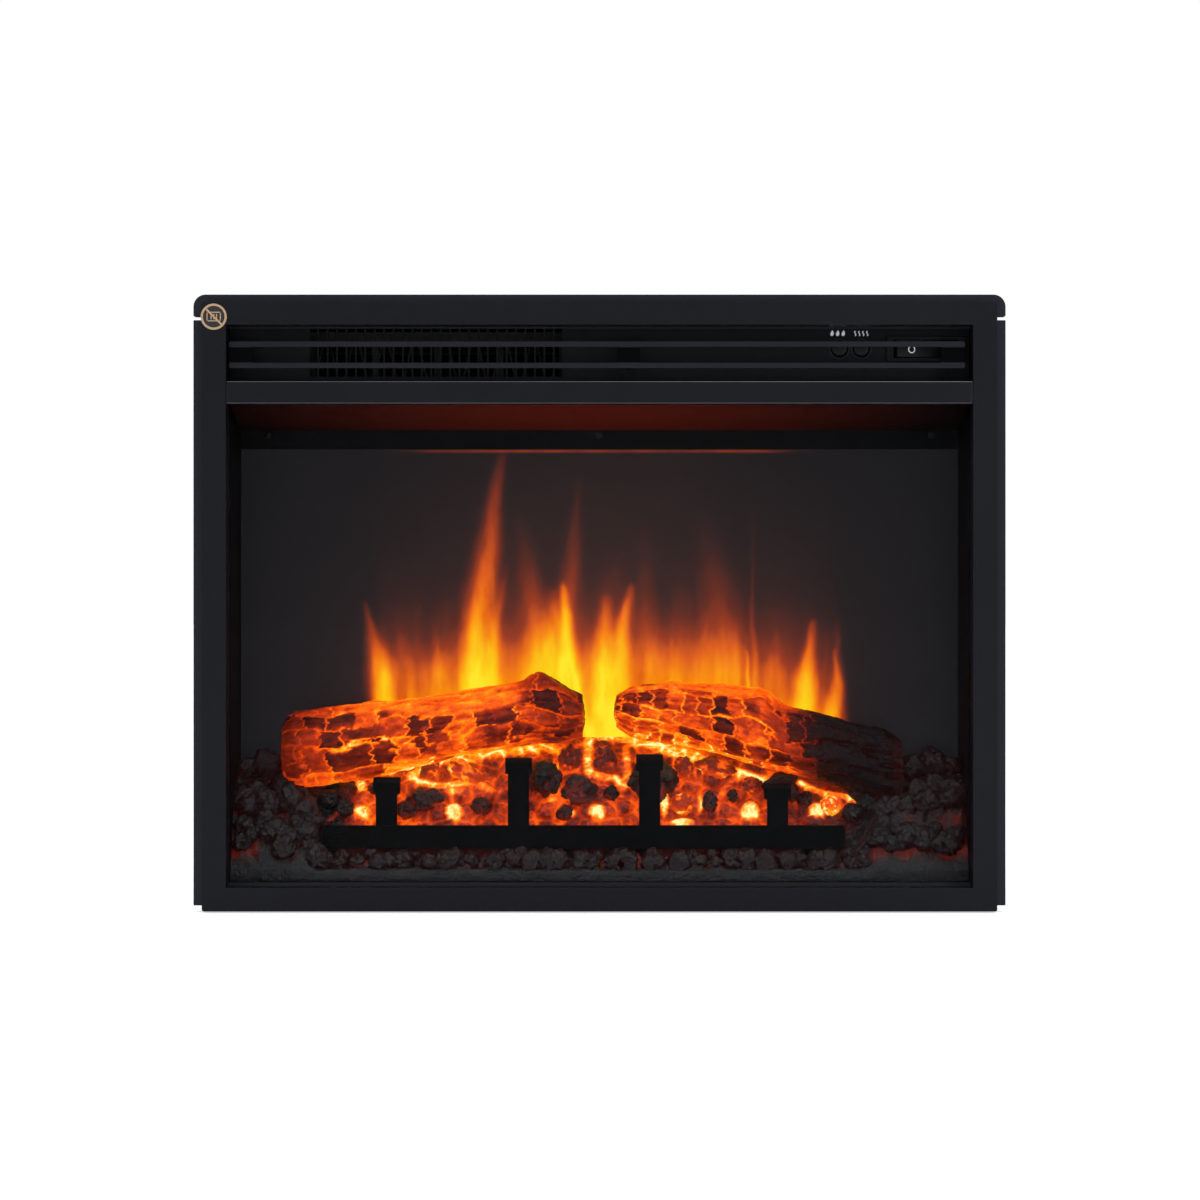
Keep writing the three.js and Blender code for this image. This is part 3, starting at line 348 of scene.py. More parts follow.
def value_noise(x, y, z=0.0, seed=0):
    """Smooth noise from 0 to 1 with cells one unit wide."""
    x, y, z = np.broadcast_arrays(np.asarray(x, float), np.asarray(y, float), np.asarray(z, float))
    ix, iy, iz = (np.floor(v).astype(np.int64) for v in (x, y, z))
    fx, fy, fz = x - ix, y - iy, z - iz
    fx, fy, fz = (f * f * (3 - 2 * f) for f in (fx, fy, fz))
    total = np.zeros(x.shape)
    for dx in (0, 1):
        for dy in (0, 1):
            for dz in (0, 1):
                weight = (
                    (fx if dx else 1 - fx) * (fy if dy else 1 - fy) * (fz if dz else 1 - fz)
                )
                total += weight * hashed(ix + dx, iy + dy, iz + dz, seed)
    return total


def cloud(x, y, z=0.0, octaves=4, seed=0):
    """Layered smooth noise, about 0 to 1."""
    total, size, norm = 0.0, 1.0, 0.0
    for octave in range(octaves):
        total = total + size * value_noise(
            np.asarray(x) * 2**octave, np.asarray(y) * 2**octave, np.asarray(z) * 2**octave, seed + octave
        )
        norm += size
        size *= 0.5
    return total / norm


def cells(u, v, wrap=0, seed=0, jitter=0.9):
    """Cell pattern: nearest distance, second minus nearest, and a number for each cell.
    wrap is the number of cells round in v, where the pattern closes on itself."""
    iu, iv = np.floor(u).astype(np.int64), np.floor(v).astype(np.int64)
    first = np.full(u.shape, 9.0)
    second = np.full(u.shape, 9.0)
    tone = np.zeros(u.shape)
    for du in (-1, 0, 1):
        for dv in (-1, 0, 1):
            cu, cv = iu + du, iv + dv
            kv = np.mod(cv, wrap) if wrap else cv
            pu = cu + 0.5 + jitter * (hashed(cu, kv, 0 * cu, seed) - 0.5)
            pv = cv + 0.5 + jitter * (hashed(cu, kv, 0 * cu + 1, seed) - 0.5)
            d = np.hypot(u - pu, v - pv)
            nearer = d < first
            second = np.where(nearer, first, np.minimum(second, d))
            tone = np.where(nearer, hashed(cu, kv, 0 * cu + 2, seed), tone)
            first = np.where(nearer, d, first)
    return first, second - first, tone


def smooth(low, high, value):
    """Eases from 0 at low to 1 at high."""
    t = np.clip((value - low) / (high - low), 0, 1)
    return t * t * (3 - 2 * t)


# ------------------------------------------------------------------ materials
SOCKETS = {"ior": "IOR"}


class Shader:
    """A material being built: its nodes and links, with a Principled surface."""

    def __init__(self, name, **values):
        self.material = bpy.data.materials.new(name)
        self.material.use_nodes = True
        self.tree = self.material.node_tree
        self.surface = self.tree.nodes["Principled BSDF"]
        for socket, value in values.items():
            self.set(SOCKETS.get(socket, socket.capitalize()), value)

    def set(self, socket, value):
        target = self.surface.inputs[socket]
        if hasattr(value, "__len__") and len(value) == 3 and len(target.default_value) == 4:
            value = (*value, 1.0)
        target.default_value = value

    def node(self, kind, settings=None, **inputs):
        made = self.tree.nodes.new(kind)
        for key, value in (settings or {}).items():
            setattr(made, key, value)
        for key, value in inputs.items():
            socket = made.inputs[key.replace("_", " ").title()]
            if isinstance(value, bpy.types.NodeSocket):
                self.tree.links.new(value, socket)
            else:
                socket.default_value = value
        return made

    def link(self, source, target):
        if isinstance(target, str):
            target = self.surface.inputs[target]
        self.tree.links.new(source, target)

    def place(self, scale=(1, 1, 1)):
        """Object coordinates, stretched by scale."""
        here = self.node("ShaderNodeTexCoord").outputs["Object"]
        mapping = self.node("ShaderNodeMapping")
        mapping.inputs["Scale"].default_value = scale
        self.link(here, mapping.inputs["Vector"])
        return mapping.outputs["Vector"]

    def noise(self, scale, detail=3.0, roughness=0.55, stretch=(1, 1, 1)):
        made = self.node("ShaderNodeTexNoise")
        self.link(self.place(stretch), made.inputs["Vector"])
        made.inputs["Scale"].default_value = scale
        made.inputs["Detail"].default_value = detail
        made.inputs["Roughness"].default_value = roughness
        return made.outputs["Fac"]

    def ramp(self, source, stops, interpolation="LINEAR"):
        """stops is a list of (position, colour or grey)."""
        made = self.node("ShaderNodeValToRGB")
        made.color_ramp.interpolation = interpolation
        elements = made.color_ramp.elements
        while len(elements) < len(stops):
            elements.new(0.5)
        for element, (position, colour) in zip(elements, stops):
            element.position = position
            if not hasattr(colour, "__len__"):
                colour = (colour, colour, colour)
            element.color = (*colour, 1.0)
        self.link(source, made.inputs["Fac"])
        return made.outputs["Color"]

    def span(self, source, low, high, from_low=0.0, from_high=1.0):
        made = self.node("ShaderNodeMapRange")
        self.link(source, made.inputs["Value"])
        made.inputs["From Min"].default_value = from_low
        made.inputs["From Max"].default_value = from_high
        made.inputs["To Min"].default_value = low
        made.inputs["To Max"].default_value = high
        return made.outputs["Result"]

    def maths(self, operation, a, b):
        made = self.node("ShaderNodeMath", {"operation": operation})
        for index, value in enumerate((a, b)):
            if isinstance(value, bpy.types.NodeSocket):
                self.tree.links.new(value, made.inputs[index])
            else:
                made.inputs[index].default_value = value
        return made.outputs[0]

    def attribute(self, name):
        made = self.node("ShaderNodeAttribute", {"attribute_name": name})
        return made.outputs["Fac"]

    def bump(self, source, distance, strength=1.0, normal=None):
        made = self.node("ShaderNodeBump")
        made.inputs["Distance"].default_value = distance
        made.inputs["Strength"].default_value = strength
        self.link(source, made.inputs["Height"])
        if normal is not None:
            self.link(normal, made.inputs["Normal"])
        self.link(made.outputs["Normal"], "Normal")
        return made.outputs["Normal"]

    def mix(self, factor, a, b):
        made = self.node("ShaderNodeMix", {"data_type": "RGBA"})
        for index, value in ((0, factor), (6, a), (7, b)):
            if isinstance(value, bpy.types.NodeSocket):
                self.tree.links.new(value, made.inputs[index])
            elif index:
                made.inputs[index].default_value = (*value, 1.0)
            else:
                made.inputs[index].default_value = value
        return made.outputs[2]


def painted_steel(name, colour, rough=0.42, grain=0.00003, specular=0.32, bars=None):
    """Powder-coated sheet: fine orange-peel grain, patches of slightly different gloss, light dust.
    bars is the middle height and half height beyond which a grille shows its coat; between, on the tabs, the
    colour and the shine are cut down as painted shade."""
    shader = Shader(name, metallic=0.0)
    shader.set("Specular IOR Level", specular)
    patches = shader.noise(9.0, 4.0, 0.6)
    dust = shader.noise(60.0, 5.0, 0.7)
    tint = shader.mix(
        shader.span(dust, 0.0, 0.35, 0.45, 0.8), colour, tuple(1.35 * c + 0.002 for c in colour)
    )
    if bars is not None:
        split = shader.node("ShaderNodeSeparateXYZ")
        shader.link(shader.place(), split.inputs[0])
        away = shader.maths("ABSOLUTE", shader.maths("SUBTRACT", split.outputs["Z"], bars[0]), 0.0)
        bright = shader.maths("GREATER_THAN", away, bars[1])
        # painted shade: the tabs between the bars get about a tenth of the colour and little shine, standing
        # for the bars' shadow
        tint = shader.mix(bright, tuple(0.12 * c for c in colour), tint)
        shader.link(shader.span(bright, 0.05, specular), "Specular IOR Level")
    shader.link(tint, "Base Color")
    peel = shader.noise(1500.0, 2.0, 0.5)
    gloss = shader.maths(
        "ADD", shader.span(patches, rough - 0.06, rough + 0.08), shader.span(peel, -0.03, 0.03)
    )
    shader.link(gloss, "Roughness")
    shader.bump(peel, grain, 0.5)
    return shader.material


def plain_plastic(name, colour, rough=0.5, grain=0.00002, specular=0.5):
    """Moulded plastic with a fine spark-eroded grain."""
    shader = Shader(name)
    shader.set("Specular IOR Level", specular)
    grain_noise = shader.noise(2600.0, 2.0, 0.6)
    worn = shader.noise(35.0, 4.0, 0.6)
    shader.link(shader.mix(shader.span(worn, 0.0, 0.5), colour, tuple(1.4 * c for c in colour)), "Base Color")
    shader.link(shader.span(worn, rough - 0.08, rough + 0.08), "Roughness")
    shader.bump(grain_noise, grain, 0.5)
    return shader.material


def bare_metal(name, colour, rough=0.35, stretch=(1, 30, 30), streak=0.00002):
    """Rolled or brushed sheet with streaks along one way and small stains."""
    shader = Shader(name, metallic=1.0)
    streaks = shader.noise(60.0, 4.0, 0.7, stretch)
    stains = shader.noise(22.0, 5.0, 0.65)
    shade = shader.mix(
        shader.span(stains, 0.0, 0.6, 0.35, 0.75), colour, tuple(0.72 * c for c in colour)
    )
    shader.link(shade, "Base Color")
    gloss = shader.maths(
        "ADD", shader.span(streaks, rough - 0.1, rough + 0.08), shader.span(stains, -0.04, 0.08)
    )
    shader.link(gloss, "Roughness")
    shader.bump(streaks, streak, 0.4)
    return shader.material


def rubber_finish(name):
    """Matt rubber with fine pores and a pale bloom."""
    shader = Shader(name)
    pores = shader.noise(1800.0, 3.0, 0.6)
    bloom = shader.noise(40.0, 4.0, 0.6)
    tone = shader.mix(shader.span(bloom, 0.0, 0.6), (0.008, 0.008, 0.008), (0.022, 0.022, 0.023))
    shader.link(tone, "Base Color")
    shader.link(shader.span(bloom, 0.72, 0.92), "Roughness")
    shader.bump(pores, 0.00003, 0.6)
    return shader.material


def speckled(name, colour, other, scale, rough, bump=0.00004):
    """Two colours mottled together, for boards, mica and cast resin."""
    shader = Shader(name)
    spots = shader.noise(scale, 5.0, 0.65)
    shader.link(shader.mix(shader.span(spots, 0.0, 1.0, 0.4, 0.62), colour, other), "Base Color")
    shader.link(shader.span(spots, rough - 0.08, rough + 0.1), "Roughness")
    shader.bump(spots, bump, 0.5)
    return shader.material


def window_pane(name):
    """Thin tinted glass: mostly clear, a soft reflection, and the faintest smear of dust."""
    shader = Shader(name, ior=1.5, alpha=0.12)
    shader.set("Base Color", (0.004, 0.0045, 0.005))
    shader.set("Specular IOR Level", 0.08)
    smear = shader.noise(14.0, 5.0, 0.65, (1, 1, 2.2))
    shader.link(shader.span(smear, 0.02, 0.07, 0.45, 0.8), "Roughness")
    return shader.material


FLAME_STOPS = [
    (0.0, (0.0, 0.0, 0.0)),
    (0.10, (0.020, 0.0034, 0.0016)),
    (0.24, (0.105, 0.0120, 0.0016)),
    (0.38, (0.31, 0.032, 0.0008)),
    (0.52, (0.72, 0.105, 0.0003)),
    (0.66, (0.93, 0.24, 0.0002)),
    (0.80, (0.96, 0.46, 0.001)),
    (0.92, (0.98, 0.64, 0.004)),
    (1.0, (1.0, 0.78, 0.020)),
]

EMBER_STOPS = [
    (0.0, (0.0, 0.0, 0.0)),
    (0.14, (0.018, 0.0010, 0.0002)),
    (0.30, (0.115, 0.006, 0.0006)),
    (0.46, (0.38, 0.023, 0.0008)),
    (0.60, (0.80, 0.070, 0.001)),
    (0.74, (0.94, 0.175, 0.002)),
    (0.88, (1.0, 0.40, 0.006)),
    (1.0, (1.0, 0.86, 0.34)),
]


def flame_screen_finish(name, strength):
    """Smoked acrylic with a diffusing back: flames glow in it from the heat of each point."""
    shader = Shader(name)
    shader.set("Base Color", (0.003, 0.003, 0.003))
    shader.set("Specular IOR Level", 0.25)
    shader.set("Emission Strength", strength)
    grain = shader.noise(900.0, 2.0, 0.6)
    licks = shader.noise(22.0, 4.0, 0.6, (2.6, 1, 0.8))
    heat = shader.attribute("fire_heat")
    stirred = shader.maths("MULTIPLY", heat, shader.span(licks, 0.86, 1.14, 0.3, 0.7))
    grained = shader.maths("MULTIPLY", stirred, shader.span(grain, 0.97, 1.03))
    flame = shader.ramp(grained, FLAME_STOPS)
    haze = shader.ramp(
        shader.attribute("fire_haze"),
        [(0.0, 0.0), (0.2, (0.0062, 0.0062, 0.0078)), (1.0, (0.034, 0.0165, 0.0140))],
    )
    added = shader.node("ShaderNodeMix", {"data_type": "RGBA", "blend_type": "ADD"})
    added.inputs[0].default_value = 1.0
    shader.link(flame, added.inputs[6])
    shader.link(haze, added.inputs[7])
    shader.link(added.outputs[2], "Emission Color")
    shader.link(shader.span(grain, 0.28, 0.36), "Roughness")
    return shader.material


def ember_finish(name, strength, fleck_glint_colour, shine, skin=(0.014, 0.004, 0.002), coal=(0.0028, 0.0028, 0.0034)):
    """Painted resin over lamps: each point has its own glow and how charred its skin is."""
    shader = Shader(name)
    shader.set("Emission Strength", strength)
    shader.set("Specular IOR Level", shine)
    glow = shader.attribute("ember_glow")
    char = shader.attribute("bark_char")
    fine = shader.noise(520.0, 5.0, 0.72)
    coarse = shader.noise(110.0, 5.0, 0.65)
    tone = shader.mix(shader.maths("ADD", char, shader.span(coarse, -0.25, 0.25)), skin, coal)
    # painted highlight: flecks of the given colour in the base colour stand for the glints on the coals and
    # bark, where the roughness also drops for real shine
    painted_glint_flecks = shader.mix(shader.span(fine, 0.0, 0.5, 0.58, 0.72), tone, fleck_glint_colour)
    shader.link(painted_glint_flecks, "Base Color")
    hot = glow
    for noise, depth in ((coarse, 0.17), (fine, 0.13)):
        waver = shader.maths("MULTIPLY", glow, shader.span(noise, -depth, depth, 0.25, 0.75))
        hot = shader.maths("ADD", hot, waver)
    shader.link(shader.ramp(hot, EMBER_STOPS), "Emission Color")
    shader.link(shader.span(fine, 0.55, 0.22, 0.3, 0.7), "Roughness")
    crags = shader.bump(coarse, 0.004, 0.8)
    shader.bump(fine, 0.0009, 0.7, crags)
    return shader.material


def lit_steel(name, colour, glow_colour, centre, reach, strength):
    """Matt black sheet that catches the fire's red light near its middle."""
    shader = Shader(name)
    shader.set("Emission Strength", strength)
    shader.set("Specular IOR Level", 0.2)
    grain = shader.noise(1300.0, 2.0, 0.5)
    dust = shader.noise(45.0, 5.0, 0.7)
    shader.link(shader.mix(shader.span(dust, 0.0, 0.4), colour, tuple(1.5 * c for c in colour)), "Base Color")
    shader.link(shader.span(dust, 0.5, 0.68), "Roughness")
    shader.bump(grain, 0.00003, 0.4)
    mapping = shader.node("ShaderNodeMapping")
    mapping.vector_type = "POINT"
    mapping.inputs["Location"].default_value = [-c / r for c, r in zip(centre, reach)]
    mapping.inputs["Scale"].default_value = [1 / r for r in reach]
    here = shader.node("ShaderNodeTexCoord").outputs["Object"]
    shader.link(here, mapping.inputs["Vector"])
    ball = shader.node("ShaderNodeTexGradient", {"gradient_type": "SPHERICAL"})
    shader.link(mapping.outputs["Vector"], ball.inputs["Vector"])
    lit = shader.ramp(ball.outputs["Fac"], [(0.0, (0, 0, 0)), (1.0, glow_colour)], "EASE")
    shader.link(lit, "Emission Color")
    return shader.material


def printed(name, colour, glow=0.0):
    """Screen-printed ink, a little uneven; bright ink carries a little light of its own."""
    shader = Shader(name)
    shader.set("Emission Color", colour)
    shader.set("Emission Strength", glow)
    ink = shader.noise(2200.0, 3.0, 0.6)
    shader.link(shader.mix(shader.span(ink, 0.0, 0.5), colour, tuple(0.8 * c for c in colour)), "Base Color")
    shader.link(shader.span(ink, 0.45, 0.65), "Roughness")
    return shader.material


def build_finishes():
    """Every finish of the insert by name."""
    look = bpy.context.scene.fire_finish
    fire = bpy.context.scene.fire_fire
    coat = tuple(look.coat_colour)
    return {
        "black_steel": painted_steel("satin_powder_coat", coat, specular=0.27),
        # painted highlight: the rounded edges get a lighter copy of the coat, besides real extra gloss
        "edge": painted_steel("edge_coat_painted_highlight", tuple(2.2 * c + 0.012 for c in coat), 0.22, specular=1.0),
        # painted light: the trims are the frame's own coat, made lighter where they catch more light
        "painted_lit_coat": painted_steel("powder_coat_painted_lit", tuple(2.7 * c for c in coat), specular=0.36),
        "inner_steel": painted_steel("matt_casing_paint", (0.0085, 0.0085, 0.0095), 0.55),
        "fascia": painted_steel("fascia_paint", (0.0034, 0.0036, 0.0052), 0.5, specular=0.2),
        # the grille's tabs between its bars carry painted shade
        "grille_paint": painted_steel(
            "grille_paint", tuple(look.grille_colour), 0.36, bars=(GRILLE_MIDDLE, GRILLE_HALF - BAR_THICKNESS)
        ),
        "zinc_steel": bare_metal("zinc_plate", (0.52, 0.53, 0.56), 0.34),
        "polished_sheet": bare_metal("polished_sheet", (0.86, 0.87, 0.89), 0.14),
        "black_plastic": plain_plastic("black_moulding", (0.0035, 0.0035, 0.0042), 0.42, specular=0.28),
        "rocker_plastic": plain_plastic("rocker_moulding", (0.0022, 0.0022, 0.0028), 0.36, specular=0.25),
        "rubber": rubber_finish("black_rubber"),
        "window_glass": window_pane("window_glass"),
        "circuit_board": speckled("solder_mask", (0.015, 0.075, 0.03), (0.03, 0.13, 0.05), 300.0, 0.4),
        "mica": speckled("mica_board", (0.010, 0.008, 0.005), (0.020, 0.016, 0.010), 260.0, 0.7),
        "nichrome": bare_metal("heater_wire", (0.035, 0.032, 0.030), 0.55, (1, 1, 1)),
        "cream_plastic": plain_plastic("cream_moulding", (0.66, 0.62, 0.52), 0.45),
        "grate_paint": painted_steel("grate_paint", (0.0012, 0.0011, 0.0012), 0.62, 0.00008, 0.12),
        "soffit": lit_steel(
            "soffit_paint",
            (0.0016, 0.0014, 0.0016),
            (0.058, 0.0042, 0.0012),
            (-0.012, SOFFIT_LO.y + 0.03, SOFFIT_LO.z + 0.012),
            (0.34, 0.14, 0.06),
            1.0,
        ),
        "wall": lit_steel(
            "wall_paint",
            (0.0016, 0.0016, 0.0022),
            (0.012, 0.0016, 0.0006),
            (0.0, SCREEN_LO.y - 0.03, BED_HI.z),
            (0.40, 0.12, 0.10),
            1.0,
        ),
        "filter": speckled("dust_mesh", (0.002, 0.002, 0.002), (0.008, 0.008, 0.008), 1500.0, 0.9, 0.0003),
        "print": printed("white_print", tuple(look.print_colour), 0.22),
        "sticker": printed("sticker_ring", tuple(look.sticker_colour)),
        "sticker_film": printed("sticker_film", (0.022, 0.019, 0.018)),
        "flame": flame_screen_finish("flame_screen", fire.flame_strength),
        "ember": ember_finish("ember_bed", fire.ember_strength, (0.030, 0.031, 0.040), 0.6),
        "log": ember_finish("log_bark", 1.06 * fire.ember_strength, (0.012, 0.007, 0.006), 0.2),
    }


FINISH = {}


# ------------------------------------------------------------------ frame nodes that keep their shape
KEPT = {
    "zinc_steel": [
        "left_glass_clip", "right_glass_clip", "flame_tact_switch", "heater_tact_switch",
        "blower_motor", "flicker_motor", "flicker_motor_bracket",
    ],
    "inner_steel": ["heater_housing", "blower_impeller"],
    "polished_sheet": ["flame_reflector", "flicker_rod"],
    "black_plastic": ["blower_bearing", "thermal_cutout", "flicker_bush"],
    "circuit_board": ["control_board", "flame_led_board", "ember_led_board"],
    "mica": ["heater_element_frame"],
    "nichrome": ["heater_coil"],
    "cream_plastic": ["terminal_block"],
    "window_glass": ["front_glass"],
    "wall": ["firebox_left_wall", "firebox_right_wall", "firebox_floor"],
    "rubber": ["glass_gasket"],
}


class FIRE_OT_inner_parts(bpy.types.Operator):
    """Gives the parts inside the casing their finishes"""

    bl_idname = "fire.inner_parts"
    bl_label = "Inner parts"

    def execute(self, context):
        for finish, names in KEPT.items():
            for name in names:
                node = NODES[name]
                node.data.materials.clear()
                node.data.materials.append(FINISH[finish])
        return {"FINISHED"}


# ------------------------------------------------------------------ sheet metal
ROUNDED = [
    # node, body, slot, finish, edge radius in millimetres
    ("front_frame", "casing", "black_steel", "black_steel", 1.1),
    ("brow_rail", "casing", "black_steel", "black_steel", 0.9),
    ("top_trim", "casing", "black_steel", "painted_lit_coat", 0.5),
    ("left_trim", "casing", "black_steel", "painted_lit_coat", 0.5),
    ("right_trim", "casing", "black_steel", "painted_lit_coat", 0.5),
    ("base_pan", "casing", "inner_steel", "inner_steel", 0.4),
    ("top_panel", "casing", "inner_steel", "inner_steel", 0.4),
    ("left_side_panel", "casing", "inner_steel", "inner_steel", 0.4),
    ("right_side_panel", "casing", "inner_steel", "inner_steel", 0.4),
    ("back_panel", "casing", "inner_steel", "inner_steel", 0.3),
    ("control_fascia", "casing", "inner_steel", "fascia", 0.3),
    ("louvre_grille", "casing", "grille_paint", "grille_paint", 0.7),
    ("firebox_soffit", "casing", "inner_steel", "soffit", 0.3),
    ("screen_strip", "casing", "inner_steel", "wall", 0.3),
    ("switch_bezel", "casing", "black_plastic", "black_plastic", 0.5),
    ("grate", "casing", "grate_paint", "grate_paint", 2.0),
    ("cable_gland", "casing", "black_plastic", "black_plastic", 0.6),
]


class FIRE_OT_sheet_metal(bpy.types.Operator):
    """Rounds the folded edges of the frame, the trims, the casing and the grille"""

    bl_idname = "fire.sheet_metal"
    bl_label = "Sheet metal"

    def execute(self, context):
        for node, body, slot, finish, radius in ROUNDED:
            edged = finish in ("black_steel", "grille_paint")
            piece = crisp(node, radius * MM, 3 if radius > 0.6 else 2, edged)
            kinds = np.empty(len(piece.data.polygons), np.int32)
            piece.data.polygons.foreach_get("material_index", kinds)
            hand_over(piece, node + "_sheet", body, FINISH[finish], (node,), 30.0)
            flat_faces(piece)
            if edged:
                # the rounded edges take the lighter edge coat, a painted highlight
                piece.data.materials.append(FINISH["edge"])
                piece.data.polygons.foreach_set("material_index", kinds)
        return {"FINISHED"}


class FIRE_OT_frame_seals(bpy.types.Operator):
    """Lays a soft strip between the front frame and each side of the casing"""

    bl_idname = "fire.frame_seals"
    bl_label = "Frame seals"

    def execute(self, context):
        casing_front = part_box("left_side_panel")[0].y
        front, rear = FRAME_HI.y + CLEARANCE, casing_front - CLEARANCE
        bottom, top = BASE + 0.010, FRAME_HI.z - 0.014
        inner, outer = GLASS_HI.x + 0.0006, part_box("right_side_panel")[1].x - CLEARANCE
        strips = []
        for x0, x1 in ((-outer, -inner), (inner, outer)):
            strip = slab(x0, x1, front, rear, bottom, top)
            strips.append(bevelled(strip, 0.0004, 2))
        seals = join(strips, "frame_seals")
        hand_over(seals, seals.name, "casing", FINISH["rubber"])
        return {"FINISHED"}


class FIRE_OT_intake_filter(bpy.types.Operator):
    """Lays a fine dust mesh inside the rear intake, so that no light shows through the blower"""

    bl_idname = "fire.intake_filter"
    bl_label = "Intake filter"

    def execute(self, context):
        low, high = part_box("heater_housing")
        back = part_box("back_panel")[0].y
        pad = slab(low.x, high.x, back - 0.004, back - 0.0005, low.z + 0.004, high.z)
        select_faces(pad, lambda face: face.normal.y < -0.9)
        bpy.ops.mesh.inset(thickness=0.003)
        bpy.ops.transform.translate(value=(0, 0.002, 0))
        bpy.ops.object.mode_set(mode="OBJECT")
        bevelled(pad, 0.0004, 2)
        hand_over(pad, "intake_filter", "casing", FINISH["filter"])
        return {"FINISHED"}


class FIRE_OT_feet(bpy.types.Operator):
    """Turns the four rubber feet with rounded edges, a flat ring to stand on and a screw recess"""

    bl_idname = "fire.feet"
    bl_label = "Feet"

    def execute(self, context):
        for node in ("foot_front_left", "foot_front_right", "foot_rear_left", "foot_rear_right"):
            low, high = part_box(node)
            middle = (low + high) / 2
            foot = disc((high.x - low.x) / 2, high.z - low.z, *middle, axis="z")
            select_faces(foot, lambda face: face.normal.z < -0.9)
            bpy.ops.mesh.inset(thickness=0.0030)
            bpy.ops.mesh.inset(thickness=0.0015)
            bpy.ops.transform.translate(value=(0, 0, 0.0022))
            bpy.ops.object.mode_set(mode="OBJECT")
            bevelled(foot, 0.0007, 3)
            hand_over(foot, node + "_rubber", "casing", FINISH["rubber"], (node,))
        return {"FINISHED"}


# ------------------------------------------------------------------ screws
SCREW_RADIUS = 0.0028
SCREW_HEIGHT = 0.0018


def pan_head(radius, height):
    """A pan-head screw with a cross recess, facing -y, its seat at the origin."""
    head = disc(radius, height, 0, -height / 2, 0, sides=32)
    select_faces(head, lambda face: face.normal.y < -0.9)
    bpy.ops.mesh.bevel(offset=radius * 0.34, segments=4, profile=0.5)
    bpy.ops.object.mode_set(mode="OBJECT")
    long, short, deep = radius * 0.56, radius * 0.12, height * 0.4
    for a, b in ((long, short), (short, long)):
        bar = slab(-a, a, -height * 1.2, deep - height, -b, b)
        recess = head.modifiers.new("recess", "BOOLEAN")
        recess.operation = "DIFFERENCE"
        recess.object = bar
        recess.solver = "EXACT"
        apply_modifiers(head)
        bpy.data.objects.remove(bar)
    return head


def copied(model, place, turn=0.0):
    """A copy of a modelled piece, turned about z and moved, with its own mesh."""
    copy = bpy.data.objects.new(model.name, model.data.copy())
    COLLECTION.objects.link(copy)
    copy.data.transform(Matrix.Translation(place) @ Matrix.Rotation(turn, 4, "Z"))
    return copy


class FIRE_OT_screws(bpy.types.Operator):
    """Fits the screws of the flame screen and of the casing"""

    bl_idname = "fire.screws"
    bl_label = "Screws"

    def execute(self, context):
        model = pan_head(SCREW_RADIUS, SCREW_HEIGHT)
        for number in (1, 2, 3):
            self.screen_screw(model, f"screen_screw_{number}")
        for name, screws in (
            ("back_panel_screws", self.back_screws(model)),
            ("side_panel_screws", self.side_screws(model)),
        ):
            hand_over(join(screws, name), name, "casing", FINISH["zinc_steel"])
        bpy.data.objects.remove(model)
        return {"FINISHED"}

    def screen_screw(self, model, node):
        """One of the screws that hold the flame screen's top strip, with its shank."""
        low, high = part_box(node)
        x, z = (low.x + high.x) / 2, (low.z + high.z) / 2
        seat = low.y + SCREW_HEIGHT
        head = copied(model, (x, seat, z))
        shank = disc(SCREW_RADIUS / 2, high.y - seat, x, (seat + high.y) / 2, z, "y", 20)
        screw = join([head, shank], node + "_head")
        hand_over(screw, screw.name, "casing", FINISH["inner_steel"], (node,))

    def back_screws(self, model):
        """Five screws along the top and bottom of the back panel and three up each side."""
        low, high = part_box("back_panel")
        edge, corner = 0.006, 0.02
        places = []
        for k in range(5):
            x = low.x + corner + k * (high.x - low.x - 2 * corner) / 4
            places += [(x, high.y, low.z + edge), (x, high.y, high.z - edge)]
        for k in range(1, 4):
            z = low.z + k * (high.z - low.z) / 4
            places += [(low.x + edge, high.y, z), (high.x - edge, high.y, z)]
        return [copied(model, place, math.pi) for place in places]

    def side_screws(self, model):
        """A screw near each corner of both side panels."""
        low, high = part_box("right_side_panel")
        screws = []
        for turn, x in ((math.pi / 2, high.x), (-math.pi / 2, -high.x)):
            for y in (low.y + 0.02, high.y - 0.02):
                for z in (low.z + 0.005, high.z - 0.005):
                    screws.append(copied(model, (x, y, z), turn))
        return screws


# ------------------------------------------------------------------ controls
ROCKER_TILT = math.radians(8.0)  # how far the paddle leans at rest
ROCKER_VALLEY = 0.003  # from the pivot forward to the fold of the paddle's face
MARK_STROKE = 0.00045  # half the width of a printed stroke
SIGN_HEIGHT = 0.0042


